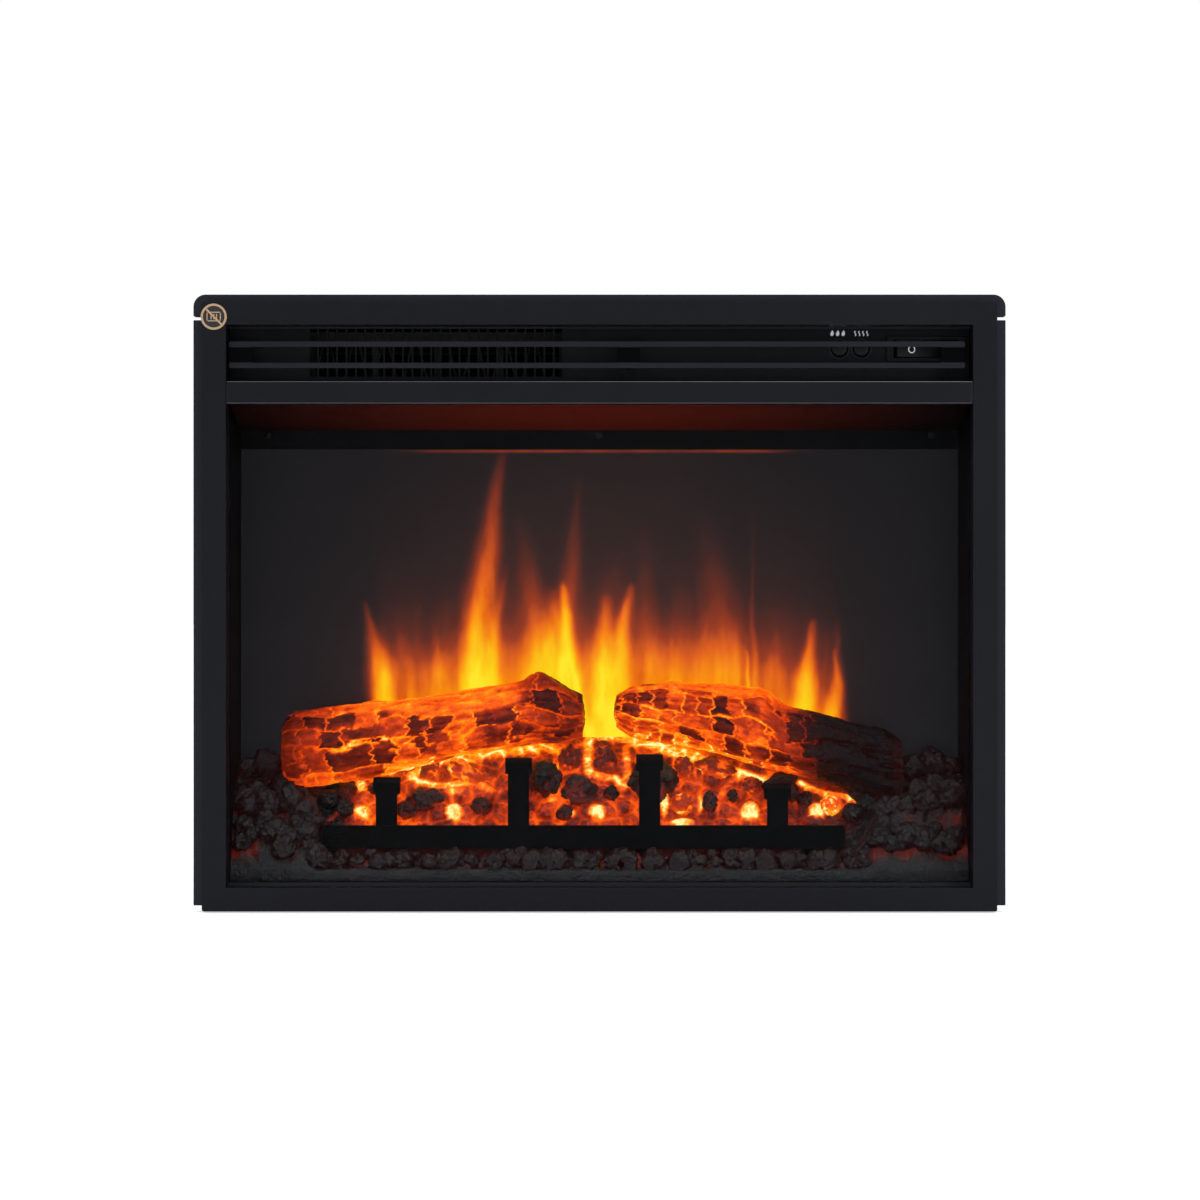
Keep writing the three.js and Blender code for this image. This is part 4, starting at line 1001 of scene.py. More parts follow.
class FIRE_OT_controls(bpy.types.Operator):
    """Shapes the two push keys and the rocker, and prints the marks above and on them"""

    bl_idname = "fire.controls"
    bl_label = "Controls"

    def execute(self, context):
        for node, body in (("flame_key", "flame_push"), ("heater_key", "heater_push")):
            key = crisp(node, 0.0003, 2)
            hand_over(key, node + "_cap", body, FINISH["black_plastic"], (node,), 40.0)
        rocker = crisp("power_rocker", 0.0006, 3)
        hand_over(
            rocker, "power_rocker_paddle", "rocker", FINISH["rocker_plastic"],
            ("power_rocker",), 40.0,
        )
        self.off_mark()
        self.key_marks()
        self.key_collars()
        return {"FINISHED"}

    def off_mark(self):
        """A ring printed on the raised half of the rocker, and a bar on the pressed half."""
        joint = next(j for j in frame["joints"] if j["name"] == "rocker_tilt")
        pivot = Vector(joint["pos_m"])
        rest = Matrix.Translation(pivot) @ Matrix.Rotation(ROCKER_TILT, 4, "Z")
        half = (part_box("power_rocker")[1].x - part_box("power_rocker")[0].x) / 2
        tip = ROCKER_VALLEY / half + math.tan(ROCKER_TILT)  # sine of the angle of the tips
        slope = math.atan(math.tan(ROCKER_TILT) / math.sqrt(1 - tip**2))
        ring = flat_ring(0.0027, MARK_STROKE, 0, 0, 0, 0.2, 40, 8)
        bar = slab(-MARK_STROKE, MARK_STROKE, -0.00008, 0.00004, -0.0028, 0.0028)
        marks = []
        for side, mark in ((-1, ring), (1, bar)):
            face = Matrix.Rotation(side * -slope, 4, "Z")
            place = rest @ Matrix.Translation((0, -ROCKER_VALLEY - PRINT_PROUD, 0)) @ face
            mark.data.transform(Matrix.Translation((side * half * 0.5, 0, -0.0007)))
            mark.data.transform(place)
            marks.append(mark)
        printed_marks = join(marks, "rocker_marks")
        hand_over(printed_marks, printed_marks.name, "rocker", FINISH["print"])

    def key_marks(self):
        """A row of small flames above the first key and a row of heat waves above the second."""
        y = FASCIA_LO.y - PRINT_PROUD
        low_a, high_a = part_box("flame_key")
        low_b, high_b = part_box("heater_key")
        height = (low_a.z + high_a.z) / 2 + 0.0106
        middle = (low_a.x + high_a.x) / 2 - 0.0015
        flames = [flame_sign(middle + step, y, height, SIGN_HEIGHT) for step in (-0.0046, 0.0, 0.0046)]
        waves = heat_sign((low_b.x + high_b.x) / 2, y, height, SIGN_HEIGHT)
        marks = join([*flames, *waves], "key_marks")
        hand_over(marks, marks.name, "casing", FINISH["print"])

    def key_collars(self):
        """A low raised ring round each key's hole."""
        rings = []
        for node in ("flame_key", "heater_key"):
            middle = (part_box(node)[0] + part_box(node)[1]) / 2
            rings.append(flat_ring(0.0078, 0.0005, middle.x, FASCIA_LO.y, middle.z, 0.8, 64, 10))
        collars = join(rings, "key_collars")
        # the collars take the lighter coat as a painted highlight round each key
        hand_over(collars, collars.name, "casing", FINISH["painted_lit_coat"])


def flat_outline(points, y, thickness=0.00008):
    """A thin flat shape from a closed outline of (x, z) points."""
    curve = bpy.data.curves.new("outline", "CURVE")
    curve.dimensions = "2D"
    curve.fill_mode = "BOTH"
    curve.extrude = thickness / 2
    spline = curve.splines.new("POLY")
    spline.points.add(len(points) - 1)
    for point, (u, v) in zip(spline.points, points):
        point.co = (u, v, 0, 1)
    spline.use_cyclic_u = True
    obj = bpy.data.objects.new("outline", curve)
    COLLECTION.objects.link(obj)
    activate(obj)
    bpy.ops.object.convert(target="MESH")
    obj = bpy.context.active_object
    obj.data.transform(Matrix.Rotation(math.pi / 2, 4, "X"))
    obj.data.transform(Matrix.Translation((0, y, 0)))
    return obj


def flame_sign(x, y, z, size):
    """A plain drop-shaped flame standing on z."""
    points = []
    for k in range(28):
        t = 2 * math.pi * k / 28
        wide = 0.36 * math.sin(t) * (1 - 0.45 * max(0.0, -math.cos(t)))
        tall = 0.5 - 0.5 * math.cos(t)
        pinch = (1 - tall) ** 0.45
        lean = 0.12 * tall * math.sin(2.2 * tall)
        points.append((x + size * (wide * (0.35 + 0.75 * pinch) + lean), z + size * tall * 1.15))
    return flat_outline(points, y)


def heat_sign(x, y, z, size):
    """Four upright waves standing on z."""
    waves = []
    for k in (-1.5, -0.5, 0.5, 1.5):
        left, right = [], []
        for step in range(13):
            t = step / 12
            middle = x + size * (0.78 * k + 0.12 * math.sin(2 * math.pi * t))
            left.append((middle - size * 0.11, z + size * t))
            right.append((middle + size * 0.11, z + size * t))
        waves.append(flat_outline(right + left[::-1], y))
    return waves


STICKER_RADIUS = 0.0106
STICKER_IN = 0.0098  # from the frame's left edge to the sticker's middle
STICKER_DOWN = 0.0120  # from the frame's top edge to the sticker's middle
FILM_THICKNESS = 0.00006
INK_HALF = 0.00008  # half the thickness of the ring and the slash
# A plain heater sign inside the ring: a low box with feet, in shares of the ring's radius.
SIGN_BARS = [
    (-0.55, 0.55, 0.30, 0.38),
    (-0.55, 0.55, -0.36, -0.28),
    (-0.55, -0.47, -0.36, 0.38),
    (0.47, 0.55, -0.36, 0.38),
    (-0.24, -0.16, -0.20, 0.22),
    (-0.03, 0.05, -0.20, 0.22),
    (0.18, 0.26, -0.20, 0.22),
]


class FIRE_OT_sticker(bpy.types.Operator):
    """Sticks a round ring with a slash and a plain sign on the frame's upper left corner"""

    bl_idname = "fire.sticker"
    bl_label = "Sticker"

    def execute(self, context):
        outer = STICKER_RADIUS
        x, z = FRAME_LO.x + STICKER_IN, FRAME_HI.z - STICKER_DOWN
        y = FRAME_LO.y - 0.00012
        ring = disc(outer, 2 * INK_HALF, x, y, z, sides=96)
        select_faces(ring, lambda face: abs(face.normal.y) > 0.9)
        bpy.ops.mesh.inset(thickness=outer * 0.17)
        bpy.ops.mesh.delete(type="FACE")
        bpy.ops.mesh.select_mode(type="EDGE")
        bpy.ops.mesh.select_non_manifold()
        bpy.ops.mesh.bridge_edge_loops()
        bpy.ops.object.mode_set(mode="OBJECT")
        slash = slab(-outer * 0.84, outer * 0.84, -INK_HALF, INK_HALF, -outer * 0.07, outer * 0.07)
        slash.data.transform(Matrix.Rotation(math.radians(45), 4, "Y"))
        slash.data.transform(Matrix.Translation((x, y, z)))
        signs = [self.bar(x, y, z, outer, *bar) for bar in SIGN_BARS]
        sticker = join([ring, slash, *signs], "cover_notice_ring")
        hand_over(sticker, sticker.name, "casing", FINISH["sticker"])
        film = disc(outer * 0.985, FILM_THICKNESS, x, FRAME_LO.y - FILM_THICKNESS / 2, z, sides=96)
        hand_over(film, "cover_notice_film", "casing", FINISH["sticker_film"])
        return {"FINISHED"}

    def bar(self, x, y, z, size, u0, u1, v0, v1):
        """A straight stroke of the sign, given in shares of the sticker's radius."""
        thin = FILM_THICKNESS
        return slab(x + u0 * size, x + u1 * size, y - thin, y + thin, z + v0 * size, z + v1 * size)


# ------------------------------------------------------------------ flames
# Each tongue: foot x, foot height, tip x, tip height, half width, bow, heat, fade towards the tip.
# Millimetres, x from the middle and heights from the frame's lower edge.
TONGUES = [
    (-182, 140, -201, 257, 10, 2, 0.80, 0.55),
    (-176, 140, -186, 250, 8, -3, 0.52, 1.3),
    (-160, 140, -172, 232, 13, 5, 0.46, 1.1),
    (-136, 140, -143, 240, 12, 4, 0.50, 1.1),
    (-100, 140, -80, 388, 17, -8, 0.86, 0.55),
    (-112, 140, -108, 262, 12, 4, 0.80, 0.85),
    (-92, 140, -74, 300, 9, -5, 0.52, 0.9),
    (-56, 140, -71, 334, 20, 7, 0.66, 0.85),
    (-50, 140, -40, 268, 17, 5, 0.84, 0.60),
    (-29, 140, -33, 272, 13, 5, 1.18, 0.40),
    (-30, 180, -12, 366, 13, -4, 0.46, 0.6),
    (-6, 120, -22, 204, 5, -3, 1.15, 0.4),
    (-3, 110, 6, 262, 20, 2, 1.14, 0.65),
    (5, 130, 16, 300, 26, -3, 0.50, 0.8),
    (12, 120, 29, 270, 11, -3, 1.00, 0.45),
    (30, 150, 40, 330, 14, 4, 0.34, 1.0),
    (52, 140, 48, 262, 15, 3, 0.50, 1.2),
    (76, 140, 70, 286, 18, -4, 0.48, 1.1),
    (100, 130, 84, 330, 26, 10, 0.62, 1.0),
    (122, 140, 124, 212, 4, 3, 0.80, 0.5),
    (131, 140, 128, 330, 3, 1, 0.24, 0.4),
    (147, 140, 152, 232, 17, -3, 0.50, 1.0),
    (172, 120, 183, 242, 17, -4, 1.02, 0.55),
    (190, 120, 205, 250, 10, 3, 0.70, 0.9),
    (196, 120, 199, 216, 9, 2, 0.80, 0.7),
]


def tongue_heat(x, z, tongue):
    """Heat that one tongue gives at each point (x, z), all in millimetres."""
    foot_x, foot_z, tip_x, tip_z, half, bow, heat, fade = tongue
    t = (z - foot_z) / (tip_z - foot_z)
    inside = np.clip(t, 0, 1)
    middle = foot_x + (tip_x - foot_x) * inside**1.2 + bow * np.sin(math.pi * inside)
    taper = np.clip(1 - inside, 0, 1) ** 0.75
    width = half * (0.18 + 0.82 * taper) * (1.0 + 0.25 * np.sin(3.1 * inside + foot_x))
    across = np.abs(x - middle) / np.maximum(width, 0.5)
    body = np.exp(-(across**2.2))
    rise = np.where(t < 0, np.exp(t * 3.0), 1.0)
    along = np.clip(1 - inside, 0, 1) ** fade
    end = smooth(0.0, 0.06, 1 - t)
    return heat * body * along * rise * end


class FIRE_OT_flames(bpy.types.Operator):
    """Makes the flame screen's face and paints the flames on it as heat"""

    bl_idname = "fire.flames"
    bl_label = "Flame screen"

    def execute(self, context):
        face = self.pane(context.scene.fire_fire.flame_step)
        self.paint(face)
        back = slab(
            SCREEN_LO.x, SCREEN_HI.x, SCREEN_LO.y, SCREEN_HI.y, SCREEN_LO.z, SCREEN_HI.z
        )
        set_attribute(back, "fire_heat", np.zeros(len(back.data.vertices)))
        set_attribute(back, "fire_haze", np.full(len(back.data.vertices), 0.2))
        screen = join([face, back], "flame_screen_pane")
        hand_over(screen, screen.name, "casing", FINISH["flame"], ("flame_screen",))
        return {"FINISHED"}

    def pane(self, step):
        """The visible face of the screen, as a grid of points a step apart."""
        wide = SCREEN_HI.x - SCREEN_LO.x
        low, high = BASE + 0.100, SCREEN_HI.z
        columns = int(wide / step)
        rows = int((high - low) / step)
        bpy.ops.object.select_all(action="DESELECT")
        bpy.ops.mesh.primitive_grid_add(
            x_subdivisions=columns,
            y_subdivisions=rows,
            size=1.0,
            rotation=(math.pi / 2, 0, 0),
            location=((SCREEN_LO.x + SCREEN_HI.x) / 2, SCREEN_LO.y - 0.00005, (low + high) / 2),
        )
        face = bpy.context.active_object
        face.scale = (wide, high - low, 1)
        settle(face)
        return face

    def paint(self, face):
        """Gives each point of the face its heat and haze."""
        co = points_of(face)
        x = co[:, 0] * 1000
        z = (co[:, 2] - BASE) * 1000
        drift_x = 9 * (cloud(x / 46, z / 60, seed=5) - 0.5) + 3.2 * (cloud(x / 12, z / 26, seed=9) - 0.5)
        drift_z = 8 * (cloud(x / 40, z / 46, seed=12) - 0.5)
        total = np.zeros(len(x))
        # Tongues lie over each other, and the hottest shows through.
        for tongue in TONGUES:
            one = tongue_heat(x + drift_x, z + drift_z, tongue)
            total = 1 - (1 - np.clip(total, 0, 0.999)) * (1 - np.clip(one, 0, 0.999) * 0.86)
            total = np.maximum(total, np.clip(one, 0, 1.25) * 0.86)
        # A low band of fire behind the logs, and a thin veil of it above.
        streaks = cloud(x / 11, z / 120, octaves=3, seed=33)
        band = smooth(-196, -182, x) * smooth(204, 190, x) * (0.72 + 0.56 * streaks)
        rise = np.clip(z - 190 - 14 * (cloud(x / 22, 0 * z, seed=35) - 0.5), 0, None)
        low_band = band * np.exp(-((rise / 42) ** 1.2))
        side = 0.36 + 0.04 * smooth(-20, -90, x) - 0.04 * smooth(30, 100, x)
        total = total + side * low_band * (1 - total * 0.75)
        veil = np.exp(-((x / 175) ** 4)) * np.exp(-((np.clip(z - 175, 0, None) / 62) ** 2))
        total = total + 0.20 * veil * (0.5 + streaks) * (1 - np.clip(total, 0, 1))
        # A warm line where the fire is mirrored under the strip at the top of the screen.
        seam = smooth(376.6, 378.2, z) * smooth(380.8, 379.6, z) * smooth(-190, -120, x) * smooth(190, 130, x)
        total = np.maximum(total, 0.27 * seam * (0.6 + 0.6 * cloud(x / 40, 0 * z, seed=52)))
        set_attribute(face, "fire_heat", np.clip(total, 0, 1.1))
        glow = np.exp(-(((x + 5) / 170) ** 2)) * np.exp(-(((z - 200) / 175) ** 2))
        glow = 0.2 + 0.8 * glow * (0.75 + 0.5 * cloud(x / 60, z / 60, seed=51))
        set_attribute(face, "fire_haze", glow * (1 - np.clip(1.6 * total, 0, 1)))


# ------------------------------------------------------------------ logs
def along(points, t):
    """The value at t on the straight stretches between (place, value) pairs."""
    places = np.array([p for p, _ in points], float)
    values = np.array([v for _, v in points], float)
    return np.interp(t, places, values)


def bare_left(t, down):
    """Where the left log has lost its bark: a long strip on its upper side."""
    strip = smooth(1.12, 0.86, down + 0.25 * np.sin(7 * t))
    strip = np.maximum(strip, smooth(5.2, 5.6, down))
    return strip * smooth(0.16, 0.26, t) * smooth(0.86, 0.76, t)


def bare_right(t, down):
    """Where the right log has lost its bark: a narrow strip along its top."""
    strip = np.maximum(smooth(0.62, 0.40, down + 0.12 * np.sin(9 * t)), smooth(5.4, 5.7, down))
    return strip * smooth(0.30, 0.40, t) * smooth(0.90, 0.80, t)


# Each log from its outer end (0) to its inner end (1), in millimetres: middle is the height of its middle
# above the frame's lower edge, warmth is how much it glows, and a knob is its place, turn, reach along,
# spread round and rise. The bark has rows round the log, whose seams gape, and a bare strip.
LOGS = {
    "left_log": {
        "middle": [
            (0, 129), (0.1, 131), (0.3, 138), (0.5, 146), (0.68, 153), (0.83, 159), (0.92, 158), (1, 156),
        ],
        "radius": [
            (0, 21), (0.012, 26), (0.04, 30), (0.07, 31), (0.3, 30),
            (0.5, 27), (0.68, 25), (0.83, 25), (0.92, 23), (1, 17),
        ],
        "warmth": [(0, 0.34), (0.06, 0.42), (0.2, 0.66), (0.5, 0.69), (0.75, 0.66), (0.88, 0.44), (1, 0.38)],
        "knobs": [
            (0.865, 1.5, 0.06, 0.75, 8.5), (0.93, 2.3, 0.05, 0.5, 4.0),
            (0.30, 1.6, 0.05, 0.4, 2.5), (0.7, 3.4, 0.12, 0.5, 3.0),
        ],
        "rows": 10,
        "gape": 1.5,
        "bare": bare_left,
        "seed": 31,
    },
    "right_log": {
        "middle": [
            (0, 113), (0.1, 118), (0.24, 127), (0.42, 138), (0.5, 145), (0.62, 152), (0.82, 159), (1, 161),
        ],
        "radius": [
            (0, 21), (0.06, 27), (0.24, 26.5), (0.42, 28), (0.5, 31),
            (0.62, 28.5), (0.82, 24), (0.95, 20), (1, 12),
        ],
        "warmth": [(0, 0.17), (0.05, 0.07), (0.27, 0.11), (0.38, 0.46), (0.5, 0.66), (0.85, 0.70), (1, 0.60)],
        "knobs": [(0.49, 2.1, 0.05, 0.55, 6.0), (0.46, 1.5, 0.05, 0.6, 3.0), (0.8, 1.7, 0.05, 0.4, 2.5)],
        "rows": 10,
        "gape": 2.3,
        "bare": bare_right,
        "seed": 77,
    },
}
LOG_SIDES = 180
LOG_CUTS = (91, 3)  # cut in two rounds, because one round makes at most about a hundred cuts
END_RINGS = 10
RING_STEP = 0.085  # of a log end's radius


def log_ends(node):
    """Where a log's outer and inner ends are along x."""
    low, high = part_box(node)
    return (low.x, high.x) if node == "left_log" else (high.x, low.x)


class FIRE_OT_logs(bpy.types.Operator):
    """Turns two bars into burnt logs with bark plates, cracks and knots"""

    bl_idname = "fire.logs"
    bl_label = "Logs"

    def execute(self, context):
        for node, plan in LOGS.items():
            self.make(node, plan)
        return {"FINISHED"}

    def make(self, node, plan):
        """Shapes one log: a bar with close rings, bent, thickened, knotted and covered in bark."""
        low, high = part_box(node)
        outer, inner = log_ends(node)
        log = self.ringed_bar()
        co = points_of(log)
        ring = np.hypot(co[:, 1], co[:, 2])
        angle = np.arctan2(co[:, 2], co[:, 1])  # 0 faces back, a quarter turn is up, half a turn is front
        sign = 1 if inner > outer else -1
        t = np.clip(co[:, 0] * sign + 0.5, 0, 1)
        seed = plan["seed"]
        middle = along(plan["middle"], t)
        radius = along(plan["radius"], t)
        u = t * abs(inner - outer) * 1000
        cap = ring < 0.999
        relief, glow, char = self.bark(u, angle, t, radius, plan, seed)
        bulge = np.zeros(len(t))
        for place, turn, reach, spread, rise in plan["knobs"]:
            d = np.hypot((t - place) / reach, np.angle(np.exp(1j * (angle - turn))) / spread)
            bulge += rise * np.exp(-(d**2) * 1.6)
        lobes = 1 + 0.05 * np.sin(3 * angle + 4 * t + seed) + 0.03 * np.sin(5 * angle - 9 * t)
        skin = radius * lobes + bulge + relief
        dome = np.sqrt(np.clip(1 - ring**2, 0, 1)) * 4.5 - 3.0
        r = np.where(cap, skin * ring, skin)
        wobble = 2.2 * (cloud(u / 60, 0 * u, seed=seed + 3) - 0.5)
        torn = dome + 2.5 * (cloud(r / 5, angle * 3, seed=seed) - 0.5)
        ends = np.where(co[:, 0] > 0, 1, -1) * np.where(cap, torn, 0)
        depth_middle = (low.y + high.y) / 2 * 1000
        out = np.empty_like(co)
        out[:, 0] = (outer + (inner - outer) * t) * 1000 + ends
        out[:, 1] = depth_middle + r * np.cos(angle)
        out[:, 2] = BASE * 1000 + middle + wobble + r * np.sin(angle)
        set_points(log, out * MM)
        set_attribute(log, "ember_glow", glow)
        set_attribute(log, "bark_char", char)
        hand_over(log, node + "_bark", "casing", FINISH["log"], (node,), 60.0)

    def ringed_bar(self):
        """A round bar along x, one unit long and in radius, cut into close rings along it and on its ends."""
        bpy.ops.object.select_all(action="DESELECT")
        bpy.ops.mesh.primitive_cylinder_add(
            vertices=LOG_SIDES, radius=1.0, depth=1.0, end_fill_type="TRIFAN", rotation=(0, math.pi / 2, 0)
        )
        log = bpy.context.active_object
        settle(log)
        for number in LOG_CUTS:
            activate(log)
            bpy.ops.object.mode_set(mode="EDIT")
            bpy.ops.mesh.select_mode(type="EDGE")
            bpy.ops.mesh.select_all(action="DESELECT")
            bpy.ops.object.mode_set(mode="OBJECT")
            co = points_of(log)
            ends = np.empty(len(log.data.edges) * 2, np.int32)
            log.data.edges.foreach_get("vertices", ends)
            run = np.abs(co[ends[0::2], 0] - co[ends[1::2], 0]) > 1e-5
            log.data.edges.foreach_set("select", run)
            bpy.ops.object.mode_set(mode="EDIT")
            bpy.ops.mesh.subdivide(number_cuts=number)
            bpy.ops.object.mode_set(mode="OBJECT")
        for end in (-1, 1):
            select_faces(log, lambda face, end=end: face.normal.x * end > 0.9)
            for _ in range(END_RINGS):
                bpy.ops.mesh.inset(thickness=RING_STEP)
            bpy.ops.object.mode_set(mode="OBJECT")
        return log

    def bark(self, u, angle, t, radius, plan, seed):
        """Relief in millimetres, glow and char of the bark at each point.
        The bark lies in rows along the log, each row broken across into plates."""
        down = np.mod(angle - math.pi / 2, 2 * math.pi)  # 0 on top, a quarter turn in front
        share = down / (2 * math.pi)
        rows = plan["rows"]
        row_width = 2 * math.pi * float(np.mean(radius)) / rows

        def around(step, turns, layers, extra):
            """Noise wrapped round the log, so that it has no join."""
            return cloud(u / step, turns * np.sin(down), turns * np.cos(down), layers, seed + extra)

        sway = 1.9 * (around(48, 2, 3, 0) - 0.5)
        sway = sway + 0.75 * (around(13, 7, 4, 1) - 0.5)
        v = share * rows + sway
        row = np.mod(np.floor(v).astype(np.int64), rows)
        to_seam = np.minimum(v - np.floor(v), np.ceil(v) - v) * row_width
        none = 0 * row
        pitch = 10 + 12 * hashed(row, none, none, seed + 2)
        along_row = u / pitch + 7 * hashed(row, none + 1, none, seed + 2)
        along_row = along_row + 0.95 * (around(14, 8, 4, 4) - 0.5)
        edge = np.round(along_row).astype(np.int64)
        to_cross = np.abs(along_row - edge) * pitch
        open_cross = smooth(0.25, 0.45, hashed(edge, row, none, seed + 5))
        plate = hashed(np.floor(along_row).astype(np.int64), row, none, seed + 6)
        seam_line = np.mod(np.round(v).astype(np.int64), rows)
        gape = smooth(0.45, 0.72, cloud(u / 30, seam_line * 3.7, octaves=3, seed=seed + 7))
        half_seam = 0.35 + plan["gape"] * gape
        closed = smooth(0.30, 0.42, cloud(u / 17, seam_line * 5.1, octaves=3, seed=seed + 12))
        seam = (1 - smooth(half_seam * 0.5, half_seam + 0.8, to_seam)) * closed
        cross = (1 - smooth(0.4, 1.35, to_cross)) * open_cross
        grain = cloud(u / 26, 42 * share, 0 * u, 4, seed + 8)
        crumbs = around(5, 9, 3, 9)
        bare = plan["bare"](t, down)
        seam, cross = seam * (1 - bare), cross * (1 - bare)
        crown = 1.5 * smooth(0, 4.5, to_seam) * (0.4 + 0.9 * plate)
        relief = (crown - 2.4 * seam - 1.1 * cross) * (1 - 0.8 * bare)
        relief = relief + 2.6 * (grain - 0.5) + 1.6 * (crumbs - 0.5)
        warmth = along(plan["warmth"], t)
        patch = around(38, 4, 3, 10)
        burnt = smooth(0.42, 0.72, plate * 0.75 + 0.5 * (patch - 0.3)) * (1 - bare)
        lit = warmth * (0.80 + 0.30 * (patch - 0.5) - 0.42 * burnt + 0.20 * bare)
        lit = lit + warmth * (0.52 * (grain - 0.5) + 0.42 * (crumbs - 0.5))
        hot = np.clip(warmth * (1.16 + 0.24 * gape), 0, 0.86)
        glow = lit + np.exp(-to_seam / 1.6) * 0.22 * warmth * (1 - bare)
        glow = glow + np.maximum(seam, 0.9 * cross) * np.clip(hot - glow, 0, 1)
        under = smooth(2.1, 2.9, down) * smooth(4.2, 3.4, down)
        glow = glow + 0.30 * under * warmth
        glow = glow * np.where(warmth < 0.2, 0.6, 1.0)
        char = np.clip(0.15 + 0.9 * burnt + 1.6 * (0.5 - warmth), 0, 1)
        return relief, np.clip(glow, 0, 1), char


# ------------------------------------------------------------------ ember bed
# Brightest spots of the bed: x, height, reach across, reach up, heat. Millimetres, heights from the
# frame's lower edge.
HOT_SPOTS = [
    (-197, 76, 12, 10, 0.92),
    (-199, 99, 8, 8, 0.88),
    (-121, 77, 11, 10, 1.05),
    (-121, 94, 15, 7, 0.80),
    (-2, 77, 11, 9, 1.02),
    (-24, 76, 8, 7, 0.80),
    (54, 84, 6, 17, 0.98),
    (69, 68, 15, 6, 0.98),
    (84, 84, 5, 14, 0.80),
    (125, 77, 11, 11, 1.05),
    (181, 78, 10, 9, 1.05),
    (196, 86, 12, 10, 0.74),
    (5, 138, 16, 7, 0.95),
]

# Hot ridges of the bed, each a line of (x, height) with its half width and heat.
HOT_RIDGES = [
    ([(-158, 106), (-144, 116), (-90, 124), (-40, 130)], 4.5, 0.80),
    ([(-156, 106), (-152, 102), (-131, 97), (-106, 103), (-90, 94)], 3.5, 0.80),
    ([(-36, 128), (-37, 108), (-40, 88)], 5.0, 0.72),
    ([(-9, 135), (-10, 116), (-8, 108)], 5.0, 0.80),
    ([(-9, 108), (14, 104), (20, 98)], 4.0, 0.78),
    ([(16, 137), (40, 132), (75, 124), (110, 110), (140, 101)], 5.5, 0.81),
    ([(22, 128), (24, 110), (20, 96)], 4.0, 0.76),
    ([(62, 127), (62, 104)], 1.8, 0.80),
    ([(79, 122), (80, 106)], 1.8, 0.72),
    ([(120, 110), (104, 96), (98, 84)], 3.5, 0.70),
    ([(168, 100), (184, 92), (206, 89), (216, 82)], 3.5, 0.78),
    ([(-236, 62), (-226, 70), (-214, 80)], 1.5, 0.30),
]

# Large coals and charred plates set in the bed: x, height, half width, half height, how hot.
SET_COALS = [
    (-224, 88, 8, 8, 0.0), (-212, 80, 7, 8, 0.0), (-208, 96, 6, 6, 0.12),
    (-146, 87, 15, 10, 0.02), (-98, 82, 9, 7, 0.04), (-141, 111, 8, 7, 0.34), (-112, 109, 16, 8, 0.42),
    (-46, 103, 15, 15, 0.0), (-25, 120, 9, 11, 0.22), (5, 119, 9, 12, 0.18), (-17, 94, 14, 12, 0.06),
    (10, 92, 6, 6, 0.0), (-29, 76, 7, 6, 0.05), (-62, 80, 8, 8, 0.20), (-160, 78, 9, 8, 0.10),
    (44, 102, 18, 18, 0.0), (-180, 96, 14, 9, 0.0), (149, 100, 16, 8, 0.0), (70, 113, 8, 9, 0.30),
    (97, 113, 16, 9, 0.30), (69, 83, 9, 9, 0.42),
    (92, 85, 6, 9, 0.04), (111, 90, 5, 6, 0.0), (127, 98, 9, 7, 0.22), (171, 87, 6, 7, 0.02),
    (192, 82, 8, 8, 0.60), (158, 92, 8, 9, 0.05), (210, 76, 8, 8, 0.0), (222, 84, 8, 9, 0.0),
    (214, 92, 7, 6, 0.05),
]


def ridge_warmth(x, z):
    """Heat of the hot ridges at (x, height)."""
    warm = np.zeros(np.broadcast(x, z).shape)
    for line, half, heat in HOT_RIDGES:
        for (x0, z0), (x1, z1) in zip(line, line[1:]):
            length = math.hypot(x1 - x0, z1 - z0)
            s = np.clip(((x - x0) * (x1 - x0) + (z - z0) * (z1 - z0)) / length**2, 0, 1)
            away = np.hypot(x - x0 - s * (x1 - x0), z - z0 - s * (z1 - z0))
            warm = np.maximum(warm, heat * np.exp(-((away / (1.45 * half)) ** 3)))
    return warm


def bed_warmth(x, z):
    """How hot the bed is at (x, height), in millimetres."""
    warm = 0.57 * smooth(-222, -196, x) * smooth(222, 196, x) * smooth(50, 62, z)
    warm = warm * (1 - 0.35 * smooth(140, 170, x)) * (1 + 0.12 * smooth(-150, -175, x))
    warm = np.maximum(warm, ridge_warmth(x, z))
    for cx, cz, rx, rz, heat in HOT_SPOTS:
        warm = np.maximum(warm, heat * np.exp(-((((x - cx) / rx) ** 2 + ((z - cz) / rz) ** 2) ** 1.3)))
    return warm


# The bed under the logs, and the dark heaps beside it, from front to back: distance behind the lip, height.
BED_PROFILE = [(0, 30), (2, 32), (14, 36), (22, 42), (27, 56), (38, 92), (50, 122), (70, 137)]
HEAP_PROFILE = [(0, 31), (6, 44), (20, 74), (45, 104), (75, 120)]


def beside_fire(x):
    """0 in the fire and 1 in the dark heaps to its left and right."""
    return np.maximum(smooth(-226, -252, x), smooth(212, 236, x))


def bed_height(x, d):
    """Height of the bed above the frame's lower edge at x and distance d behind its lip."""
    slope = along(BED_PROFILE, d)
    return slope + beside_fire(x) * (along(HEAP_PROFILE, d) - slope)


def log_underside(x, margin=1.0):
    """Height of the logs' undersides over x, and a large number where there is no log."""
    limit = np.full(x.shape, 400.0)
    for node, plan in LOGS.items():
        outer, inner = log_ends(node)
        t = (x / 1000 - outer) / (inner - outer)
        inside = (t > -0.04) & (t < 1.04)
        under = along(plan["middle"], t) - along(plan["radius"], t) - margin
        limit = np.where(inside, np.minimum(limit, under), limit)
    return limit


BED_COLUMNS, BED_ROWS = 430, 180


